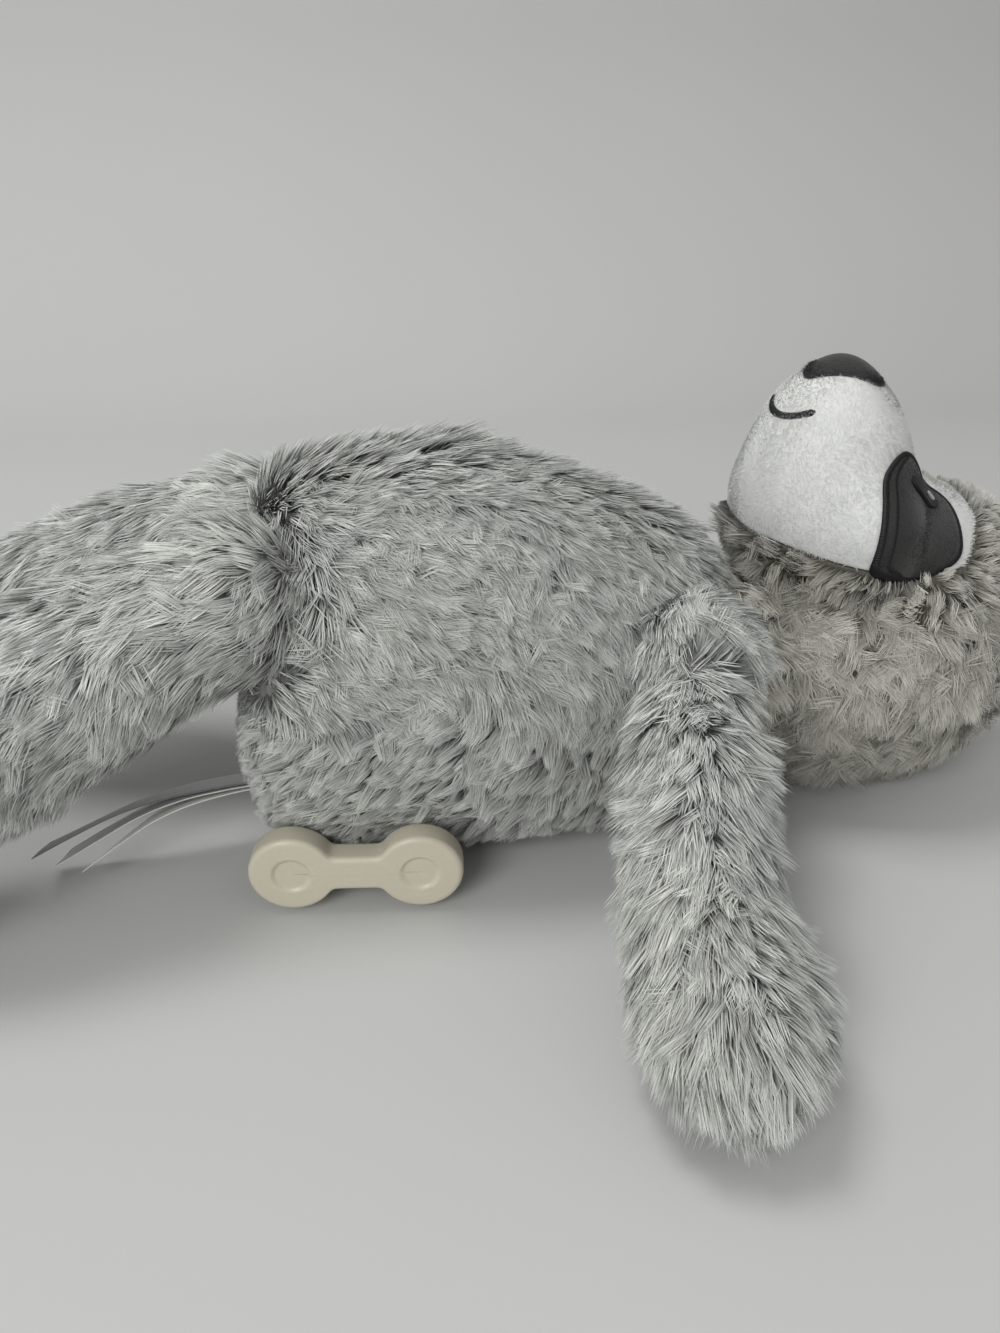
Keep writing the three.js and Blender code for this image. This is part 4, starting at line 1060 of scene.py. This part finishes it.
def onto_head(p, outwards, lift):
    """From points inside the head, along one direction, to where the head's wall plus a lift is reached."""

    def short(distance):
        away = p + outwards * distance[..., None] - HEART
        return np.linalg.norm(away, axis=-1) < head_reach(unit(away), neck=False) + lift

    return p + outwards * halved(np.zeros(p.shape[:-1]), FARTHEST, 28, short)[..., None]


def closed_curve(shares, size, count):
    """A smooth closed curve through corner shares of a size, as places in the drawing plane."""
    table = np.array(shares, float) * size
    looped = np.vstack([table[-2:], table, table[:3]])
    return through(looped, 2 + np.linspace(0, len(table), count, endpoint=False))


def drawn_on(plane, xy):
    """Places of the drawing plane in space: origin + x * across + y * up."""
    origin, across, up, outwards = plane
    return origin + xy[..., :1] * across + xy[..., 1:2] * up


def patch_mesh(name, plane, edge, thickness, rows=14, crown=0.0):
    """A felt patch: rings from the middle of the top out to the edge, over it and back underneath. The top
    falls towards the edge by the crown's share, as 1 - crown * share^2."""
    middle = edge.mean(0)
    top = np.concatenate([np.linspace(0.04, 0.9, rows), [0.97, 1.0]])
    shares = np.concatenate([top, [1.0, 0.97], np.linspace(0.9, 0.04, 4)])
    lifts = (1 - crown * top**2) * np.concatenate([np.full(rows, 1.0), [0.92, 0.6]])
    lifts = np.concatenate([lifts, [0.12, 0.09], np.full(4, 0.08)]) * thickness
    rings = []
    for share, lift in zip(shares, lifts):
        flat = drawn_on(plane, middle + (edge - middle) * share)
        rings.append(turned(onto_head(flat, plane[3], PATCH_GAP + lift)))
    return outward(tube_mesh(name, np.stack(rings)[:, ::-1]))


def signed_volume(piece):
    """Six times the volume inside a mesh of triangles: the sum of a . (b x c). Below 0 it is inside out."""
    mesh = piece.data
    points = np.empty(len(mesh.vertices) * 3)
    mesh.vertices.foreach_get("co", points)
    corners = np.empty(len(mesh.loops), int)
    mesh.loops.foreach_get("vertex_index", corners)
    a, b, c = points.reshape(-1, 3)[corners].reshape(-1, 3, 3).swapaxes(0, 1)
    return float((a * np.cross(b, c)).sum())


def outward(piece):
    """Turns the faces round where the volume says that they point inwards."""
    if signed_volume(piece) < 0:
        piece.data.flip_normals()
    return piece


# %% [markdown]
# The nose and the patches round the eyes are cut from short dark plush. Their edges, the eyes and the
# mouth are satin stitch: thread laid side by side across a line, over padding, so that it shines in bands.

# %% Dark plush and thread
s = Shader("dark_minky")
speck = s.noise(s.place(), 900.0, detail=3.0, roughness=0.7)
sheen = {"Roughness": 0.8, "Sheen_Weight": 0.15, "Sheen_Roughness": 0.5}
DARK_PLUSH = s.dyed(speck, linear(22, 22, 22), linear(42, 42, 41), 0.6, 0.0005, **sheen)


def thread_material(name, dark, pale, rough):
    """Satin thread: fine parallel strands that catch the light, in the piece's own UV direction."""
    s = Shader(name)
    strand = s.noise(s.place((3, 260, 1), uv=True), 1.0)
    return s.dyed(strand, dark, pale, 0.5, 0.0003, Roughness=rough, Specular_IOR_Level=0.35)


BLACK_THREAD = thread_material("black_thread", linear(6, 6, 8), linear(24, 24, 27), 0.5)
PALE_THREAD = thread_material("highlight_thread", linear(150, 153, 158), linear(205, 207, 210), 0.34)
STITCH = 0.5 * MM
THREAD_SUNK = 0.15 * MM
PLUSH_LOOK = (DARK_PLUSH, "head", "dark_plush")
THREAD_LOOK = (BLACK_THREAD, "head", "black_thread")


def satin_band(name, plane, curve, width, base, crown, closed=True, nodes=()):
    """Satin stitch along a line: at each stitch a low arch across it, a little higher in its middle than at
    the joint to the next stitch. The arch is base + crown * sqrt(1 - u^2) * (0.8 + 0.2 cos(stitch))."""
    whole = np.vstack([curve, curve[:1]]) if closed else curve
    length = length_so_far(whole)
    count = int(length[-1] / STITCH) * 4
    at = np.linspace(0, length[-1], count, endpoint=not closed)
    line = along_line(whole, length, at)
    if closed:
        step = np.roll(line, -1, 0) - np.roll(line, 1, 0)
    else:
        step = np.gradient(line, axis=0)
    side = unit(np.stack([-step[:, 1], step[:, 0]], -1))
    u = np.array([-1, -0.94, -0.75, -0.4, 0, 0.4, 0.75, 0.94, 1, 0.6, 0, -0.6])
    top = np.arange(len(u)) < 9
    ridge = 0.8 + 0.2 * np.cos(np.arange(count) * np.pi / 2)[:, None]
    arch = np.where(top, np.sqrt(np.maximum(1 - u**2, 0)) * crown, -THREAD_SUNK)
    lift = base + arch[None, :] * np.where(top, ridge, 1)
    to_end = np.minimum(at, length[-1] - at) / (0.5 * width)
    taper = np.ones(count) if closed else np.sqrt(np.clip(to_end, 0.08, 1))
    flat = line[:, None] + side[:, None] * (u * width / 2)[None, :, None] * taper[:, None, None]
    rings = turned(onto_head(drawn_on(plane, flat), plane[3], lift))
    piece = loop_mesh(name, rings) if closed else tube_mesh(name, rings)
    dress(outward(piece), *THREAD_LOOK, *nodes)


def patch_pile(name, plane, edge, lift, count, length, seed):
    """Short dark pile on a patch: roots scattered in its outline, upright on the face."""
    random = np.random.default_rng(seed)
    middle = edge.mean(0)
    pick = edge[random.integers(0, len(edge), count)]
    flat = middle + (pick - middle) * np.sqrt(random.random((count, 1))) * 0.98
    place = turned(onto_head(drawn_on(plane, flat), plane[3], lift))
    normal = unit(turned(onto_head(drawn_on(plane, flat), plane[3], lift + 1 * MM)) - turned(HEART[None]))
    short_pile(name, place, normal, length, 0.25, PLUSH_LOOK, seed)


# %% Nose
NOSE_SIZE = np.array([19, 21]) * MM
NOSE_SHARES = [[-0.5, 0], [-0.42, 0.3], [-0.15, 0.7], [0.15, 0.96], [0.36, 0.86], [0.48, 0.5], [0.5, 0]]
MUZZLE_X = DOME[0]
nose_half = [[across / 2, along] for along, across in NOSE_SHARES]
nose_outline = nose_half + [[-across, along] for across, along in nose_half[-2:0:-1]]
nose_plane = (
    np.array([MUZZLE_X, 0, HEART[2]]), np.array([0.0, 1, 0]), np.array([1.0, 0, 0]), np.array([0, 0, 1.0])
)
nose_edge = closed_curve(nose_outline, NOSE_SIZE[::-1], 120)
nose_patch = patch_mesh("nose_plush", nose_plane, nose_edge, thickness=1.9 * MM, crown=0.7)
dress(nose_patch, *PLUSH_LOOK, "nose_patch")
patch_pile("nose_pile", nose_plane, nose_edge, 0.7 * MM, count=14000, length=1.5 * MM, seed=150)

# %% Mouth
MOUTH_RADIUS = 12 * MM
MOUTH_AIM = math.radians(64)
MOUTH_SPAN = math.radians(96)
mouth_up = np.array([math.cos(MOUTH_AIM), 0, math.sin(MOUTH_AIM)])
mouth_out = np.array([-math.sin(MOUTH_AIM), 0, math.cos(MOUTH_AIM)])
mouth_plane = (np.array([MUZZLE_X, 0, 100.5 * MM]), np.cross(mouth_up, mouth_out), mouth_up, mouth_out)
sweep = np.linspace(-0.5, 0.5, 90) * MOUTH_SPAN - math.pi / 2
smile = np.stack([np.cos(sweep), 1 + np.sin(sweep)], -1) * MOUTH_RADIUS
satin_band("mouth_satin", mouth_plane, smile, width=1.8 * MM, base=0.2 * MM, crown=0.7 * MM, closed=False,
           nodes=["mouth_stitch"])

# %% Eyes
EYE_AIM = math.radians(35)
EYE_PATCH_ORIGIN = np.array([SKULL[0] - 12 * MM, 0, 69.6 * MM])
EYE_PATCH_SIZE = np.array([33, 29]) * MM
EYE_PATCH_SHARES = [
    [-0.1, 0.5], [0.13, 0.42], [0.36, 0.31], [0.5, 0.16], [0.47, -0.14], [0.35, -0.38],
    [0, -0.5], [-0.3, -0.5], [-0.48, -0.42], [-0.5, -0.3], [-0.42, 0.09], [-0.33, 0.34],
]
LINE_FIRST, LINE_LAST, LINE_INSET = 96, 158, 2.6 * MM
EYE_SIZE = np.array([15, 5]) * MM
EYE_SLOPE = math.radians(16)
EYE_RISE = 5.6 * MM
EYE_CROWNWARD = 3 * MM
GLINT_SHARE, GLINT_CROWNWARD, GLINT_RISE = 0.16, 2.4 * MM, -0.1 * MM
EYE_SEED = 160
angle = np.linspace(0, 2 * np.pi, 96, endpoint=False)
circle = np.stack([np.cos(angle), np.sin(angle)], -1)
for word, side in SIDES.items():
    up = np.array([0, -side * math.sin(EYE_AIM), math.cos(EYE_AIM)])
    out = np.array([0, side * math.cos(EYE_AIM), math.sin(EYE_AIM)])
    plane = (EYE_PATCH_ORIGIN, np.cross(up, out), up, out)
    edge = closed_curve([[-side * along, rise] for along, rise in EYE_PATCH_SHARES], EYE_PATCH_SIZE, 160)
    patch = patch_mesh(f"eye_patch_plush_{word}", plane, edge, thickness=1.0 * MM, rows=20)
    dress(patch, *PLUSH_LOOK, f"eye_patch_{word}")
    patch_pile(f"eye_patch_pile_{word}", plane, edge, 1.1 * MM, count=12000, length=0.7 * MM,
               seed=EYE_SEED + side)
    satin_band(f"eye_patch_border_{word}", plane, edge, width=1.6 * MM, base=0.8 * MM, crown=0.7 * MM)
    chin_side = through(edge[LINE_FIRST:LINE_LAST], np.linspace(0, LINE_LAST - LINE_FIRST - 1, 120))
    chin_side = chin_side + np.array([-side * LINE_INSET, 0])
    satin_band(f"eye_patch_line_{word}", plane, chin_side, width=1.3 * MM, base=0.9 * MM, crown=0.6 * MM,
               closed=False)
    slope = side * EYE_SLOPE
    axes = np.array([[math.cos(slope), math.sin(slope)], [-math.sin(slope), math.cos(slope)]])
    middle = np.array([-side * EYE_CROWNWARD, EYE_RISE])
    oval = circle * EYE_SIZE * [0.5, 0.6] @ axes + middle
    dress(patch_mesh(f"eye_satin_{word}", plane, oval, 2.1 * MM), *THREAD_LOOK, f"eye_{word}")
    glint_place = np.array([-side * GLINT_CROWNWARD, GLINT_RISE])
    glint = (circle * EYE_SIZE * GLINT_SHARE + glint_place) @ axes + middle
    shine = patch_mesh(f"eye_highlight_{word}", plane, glint, 2.5 * MM, rows=8)
    dress(shine, PALE_THREAD, "head", "black_thread")

# %% [markdown]
# Three satin ribbons hang out of the rear seam. On a real toy they carry its washing instructions; here
# they are blank. Each is one curved surface with a little thickness, and curls a little across its width.

# %% Ribbons


def satin_material(name, first, second):
    """Woven satin: fine threads along the ribbon, with a soft cloudiness."""
    s = Shader(name)
    weave = s.noise(s.place((40, 420, 1), uv=True), 1.0)
    clouded = weave * 0.4 + s.noise(s.place(), 60.0) * 0.5
    return s.dyed(clouded, first, second, 0.25, 0.0002, weave, Roughness=0.42, Sheen_Weight=0.2)


RIBBON_GREY = satin_material("grey_satin", linear(96, 96, 98), linear(140, 140, 142))
RIBBON_WHITE = satin_material("white_satin", linear(212, 212, 208), linear(238, 238, 234))
RIBBON_WIDTH = 13 * MM
RIBBON_TILT = math.radians(22)
RIBBON_COLUMNS, RIBBON_HALF, RIBBON_CURL = 17, 0.15, 0.5 * MM
RIBBON_SAG = [[0, 0], [0.2, 0.02], [0.4, 0.09], [0.6, 0.28], [0.8, 0.62], [1, 1]]
RIBBON_ROOT = np.array([TORSO_REAR + 0.9 * MM, -14 * MM, 23 * MM])


def ribbon_rings(number, reach, tip):
    """A flat loop round the ribbon at each share of its length: along the sag table, wide across Y, with
    its far edge hanging lower, a curl at its edges, and twice RIBBON_HALF in millimetres thick."""
    root = RIBBON_ROOT - np.array([0, 0, number * MM])
    shares = through(RIBBON_SAG, np.linspace(0, 5, 60))
    across = np.concatenate([np.linspace(-1, 1, RIBBON_COLUMNS), np.linspace(1, -1, RIBBON_COLUMNS)])
    under = np.repeat([RIBBON_HALF, -RIBBON_HALF], RIBBON_COLUMNS) * MM
    x = root[0] - shares[:, :1] * reach
    wave = RIBBON_CURL * np.sin(shares[:, :1] * 5 + number * 2 + across * 1.2)
    z = root[2] - shares[:, 1:] * (root[2] - tip) - 0.3 * MM + under + wave * shares[:, :1] * across**2
    z = z - across * RIBBON_WIDTH / 2 * math.tan(RIBBON_TILT)
    y = root[1] - shares[:, :1] * 9 * MM + across * RIBBON_WIDTH / 2
    return np.stack([x + 0 * across, y, z], -1)


for number, (reach, material) in enumerate([(56, RIBBON_GREY), (51, RIBBON_WHITE), (45, RIBBON_WHITE)]):
    rings = ribbon_rings(number, reach * MM, (5 + (2 - number) * 3) * MM)
    length = np.linalg.norm(np.diff(rings.mean(1), axis=0), axis=1).sum()
    ribbon = outward(tube_mesh(f"ribbon_{number + 1}", rings))
    dress(ribbon, material, "torso", "satin_ribbon", f"care_label_{number + 1}")
    print("ribbon", number + 1, "length mm", round(length * 1000, 1))

# %% [markdown]
# The pull handle is one moulded piece: two discs and a waist, with a rounded edge and a shallow dimple in
# each disc. Its surface runs from the middle line of one face, over the edge, to that of the other.

# %% Plastics


def plastic_material(name, dark, pale, rough):
    """Moulded plastic: nearly one colour, with a fine satin texture and faint scuffs."""
    s = Shader(name)
    fine = s.noise(s.place(), 1400.0)
    scuff = s.noise(s.place((1, 1, 4)), 120.0, detail=5.0, roughness=0.7)
    marks = s.ramp(scuff, (0.55, BLACK), (0.75, WHITE))
    return s.dyed(
        fine * 0.5 + marks * 0.3, dark, pale, 0.12, 0.0001, fine, Roughness=marks * 0.12 + rough
    )


CREAM_PLASTIC = plastic_material("cream_plastic", linear(194, 187, 168), linear(210, 204, 186), 0.36)
WHITE_PLASTIC = plastic_material("white_plastic", linear(218, 218, 214), linear(236, 236, 232), 0.4)

# %% Pull handle
HANDLE_PLACE = np.array([-40.1, -40.5, 12]) * MM
HANDLE_HALF, HANDLE_RADIUS, HANDLE_WAIST = 15.5 * MM, 10.5 * MM, 9.5 * MM
HANDLE_THICKNESS, HANDLE_EDGE = 7 * MM, 1.4 * MM
DIMPLE_RADIUS, DIMPLE_DEPTH, DIMPLE_FLOOR = 5 * MM, 0.7 * MM, 0.78
HANDLE_YAW = math.radians(-5)


def handle_outline(count):
    """Round both discs at their angle, and along the waist between them; then evenly spaced, and softened
    by a moving average so that disc and waist meet in a small curve."""
    meet = math.asin(HANDLE_WAIST / (2 * HANDLE_RADIUS))
    arc = np.linspace(-math.pi + meet, math.pi - meet, 400)
    right = np.stack([HANDLE_HALF + HANDLE_RADIUS * np.cos(arc), HANDLE_RADIUS * np.sin(arc)], -1)
    loop = np.vstack([right, -right, right[:1]])
    length = length_so_far(loop)
    line = along_line(loop, length, np.linspace(0, length[-1], count, endpoint=False))
    for _ in range(6):
        line = (np.roll(line, 1, 0) + line * 2 + np.roll(line, -1, 0)) / 4
    return line


ROUND = 240
outline = handle_outline(ROUND)
spine = np.stack([np.clip(outline[:, 0], -HANDLE_HALF, HANDLE_HALF), 0 * outline[:, 0]], -1)
outwards = outline - spine
reach_out = np.linalg.norm(outwards, axis=1)[:, None]
half_rows = []
for share in np.linspace(0, 1, 26)[:-1]:
    half_rows.append((outwards * (1 - HANDLE_EDGE / reach_out) * share, HANDLE_THICKNESS / 2))
for turn in np.linspace(0, math.pi / 2, 7):
    inset, fall = HANDLE_EDGE * (1 - math.sin(turn)), HANDLE_EDGE * (1 - math.cos(turn))
    half_rows.append((outwards * (1 - inset / reach_out), HANDLE_THICKNESS / 2 - fall))
half_rows = [np.insert(spine + flat, 1, -y, axis=1) for flat, y in half_rows]
handle_rings = np.stack(half_rows + [row * [1, -1, 1] for row in half_rows[::-1]])
from_disc = np.hypot(np.abs(handle_rings[..., 0]) - HANDLE_HALF, handle_rings[..., 2])
sunk = DIMPLE_DEPTH * (1 - smooth(from_disc, DIMPLE_FLOOR * DIMPLE_RADIUS, DIMPLE_RADIUS))
handle_rings[..., 1] -= np.sign(handle_rings[..., 1]) * sunk
handle_rings = about_z(handle_rings, HANDLE_YAW)
handle = outward(tube_mesh("handle_dumbbell", handle_rings + HANDLE_PLACE))

# %% Flat shading along both middle lines
handle_normals = np.empty(len(handle.data.vertices) * 3)
handle.data.vertex_normals.foreach_get("vector", handle_normals)
handle_normals = handle_normals.reshape(-1, 3)
points_in_rings = handle_rings.shape[0] * ROUND
front_row = [*range(ROUND), points_in_rings]
back_row = [*range(points_in_rings - ROUND, points_in_rings), points_in_rings + 1]
cos_yaw, sin_yaw = math.cos(HANDLE_YAW), math.sin(HANDLE_YAW)
for row, neighbour, straight in [
    (front_row, ROUND, [-sin_yaw, -cos_yaw, 0]),
    (back_row, points_in_rings - ROUND - 1, [sin_yaw, cos_yaw, 0]),
]:
    handle_normals[row] = np.array(straight) * np.sign(handle_normals[neighbour] @ straight)
soft_normals(handle, handle_normals)
dress(handle, CREAM_PLASTIC, "pull", "cream_plastic", "pull_handle")
print("handle", (handle_rings.max((0, 1)) - handle_rings.min((0, 1))).round(4))

# %% [markdown]
# The cord is braided nylon. It runs from the handle through the eyelet to the spool.

# %% Cord and its fittings
s = Shader("braided_cord")
slanting = s.wave(s.place((4, 24, 0), uv=True), 1.0, direction="DIAGONAL")
CORD_NYLON = s.dyed(slanting, linear(176, 175, 168), linear(232, 231, 225), 0.6, 0.0003, Roughness=0.6)
CORD_X, CORD_Z, CORD_END = HANDLE_PLACE[0], 14.1 * MM, -0.0391
CORD_RADIUS, BRAID_RELIEF = 0.76 * MM, 0.04 * MM
STRANDS_ROUND, BRAID_PITCH = 4, 3
cord_y = np.linspace(0, CORD_END, 160)[:, None]
cord_angle = np.linspace(0, 2 * np.pi, 24, endpoint=False)
round_, along = cord_angle[None] * STRANDS_ROUND, cord_y / MM * BRAID_PITCH
braid = CORD_RADIUS + BRAID_RELIEF * np.cos(round_ + along) * np.cos(round_ - along)
cord_x, cord_z = CORD_X + braid * np.cos(cord_angle), CORD_Z + braid * np.sin(cord_angle)
cord_rings = np.stack([cord_x, cord_y + 0 * braid, cord_z], -1)
pull_cord = outward(tube_mesh("braided_cord", cord_rings))
pull_cord.data.materials.append(CORD_NYLON)
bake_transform(pull_cord)
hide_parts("pull_cord")

# %% [markdown]
# The movement inside keeps its CAD shapes. Each metal or plastic gets its own finish, since the part may
# be opened or shown cut away.

# %% Movement finishes


def metal_material(name, dark, pale, rough):
    """Machined metal: fine lines one way, and a slight change of shade."""
    s = Shader(name)
    lines = s.noise(s.place((1, 1, 20)), 500.0, detail=3.0)
    return s.dyed(lines, dark, pale, 0.1, 0.0001, Metallic=1.0, Roughness=lines * 0.2 + rough)


BRASS = metal_material("brass", linear(176, 141, 74), linear(222, 190, 118), 0.26)
STEEL = metal_material("steel", linear(150, 152, 156), linear(205, 207, 210), 0.24)
s = Shader("wound_cord")
turns = s.wave(s.place(), 420.0, direction="Z")
CORD_WOUND = s.dyed(turns, linear(150, 149, 142), linear(232, 231, 225), 0.7, 0.0004, Roughness=0.65)
FINISHES = [
    (WHITE_PLASTIC, [
        "cord_eyelet", "movement_case_lower", "movement_case_upper", "cord_spool", "governor_fan",
    ]),
    (CORD_WOUND, ["cord_knot", "cord_winding"]),
    (STEEL, ["bedplate", "comb", "mainspring", "case_screw_1", "case_screw_2", "comb_screw", "spool_axle"]),
    (BRASS, ["music_cylinder"]),
]
for finish, nodes in FINISHES:
    for node in nodes:
        material_slots = frame["nodes"][node].data.materials
        material_slots.clear()
        material_slots.append(finish)
    print(finish.name, "on", ", ".join(nodes))

# %% [markdown]
# A photographer's sweep: the floor curves up behind the toy into a pale wall. A soft lamp overhead gives
# the shadow under the toy, a larger one in front lights its near side, and an even sky fills the rest.
# Together they light a level surface at about full strength, so that each colour shows as it was written.

# %% Floor and backdrop
FLOOR_FRONT, BEND_START, BEND_RADIUS, WALL_TOP, HALF_SPAN = -1.6, 0.42, 0.25, 1.6, 2.2
bend = np.linspace(0, math.pi / 2, 24)
bend_y = BEND_START + BEND_RADIUS * np.sin(bend)
profile_y = np.concatenate([[FLOOR_FRONT], bend_y, [BEND_START + BEND_RADIUS]])
profile_z = np.concatenate([[0], BEND_RADIUS * (1 - np.cos(bend)), [WALL_TOP]])
across = np.tile([-HALF_SPAN, HALF_SPAN], len(profile_y))
sweep_points = np.stack([across, np.repeat(profile_y, 2), np.repeat(profile_z, 2)], -1)
row = np.arange(len(profile_y) - 1)[:, None] * 2
backdrop = mesh_piece("backdrop", sweep_points, row + np.array([[0, 1, 3, 2]]))
s = Shader("paper")
paper_colour = s.mix(s.noise(s.place(), 3.0), linear(187, 187, 184), linear(193, 194, 192))
backdrop.data.materials.append(s.set(Base_Color=paper_colour, Roughness=0.9))

# %% Light


def soft_lamp(name, place, target, size, power):
    """A square lamp that faces a target."""
    lamp = bpy.data.objects.new(name, bpy.data.lights.new(name, "AREA"))
    lamp.data.size = size
    lamp.data.energy = power
    lamp.location = place
    lamp.rotation_euler = (Vector(target) - Vector(place)).to_track_quat("-Z", "Y").to_euler()
    bpy.context.scene.collection.objects.link(lamp)


soft_lamp("overhead", (-0.3, 0.1, 1.2), (0, 0, 0), size=0.4, power=5.4)
soft_lamp("front_fill", (-0.65, -1.0, 0.75), (0, 0, 0.05), size=0.6, power=9.0)
world = bpy.context.scene.world or bpy.data.worlds.new("studio")
bpy.context.scene.world = world
world.use_nodes = True
sky = world.node_tree.nodes["Background"].inputs
sky["Color"].default_value = (1, 1, 1, 1)
sky["Strength"].default_value = 0.48

# %% Sizes and finish
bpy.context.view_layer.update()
triangles = sum(len(piece.data.polygons) for piece in bpy.data.objects if piece.type == "MESH")
print("faces in all", triangles)
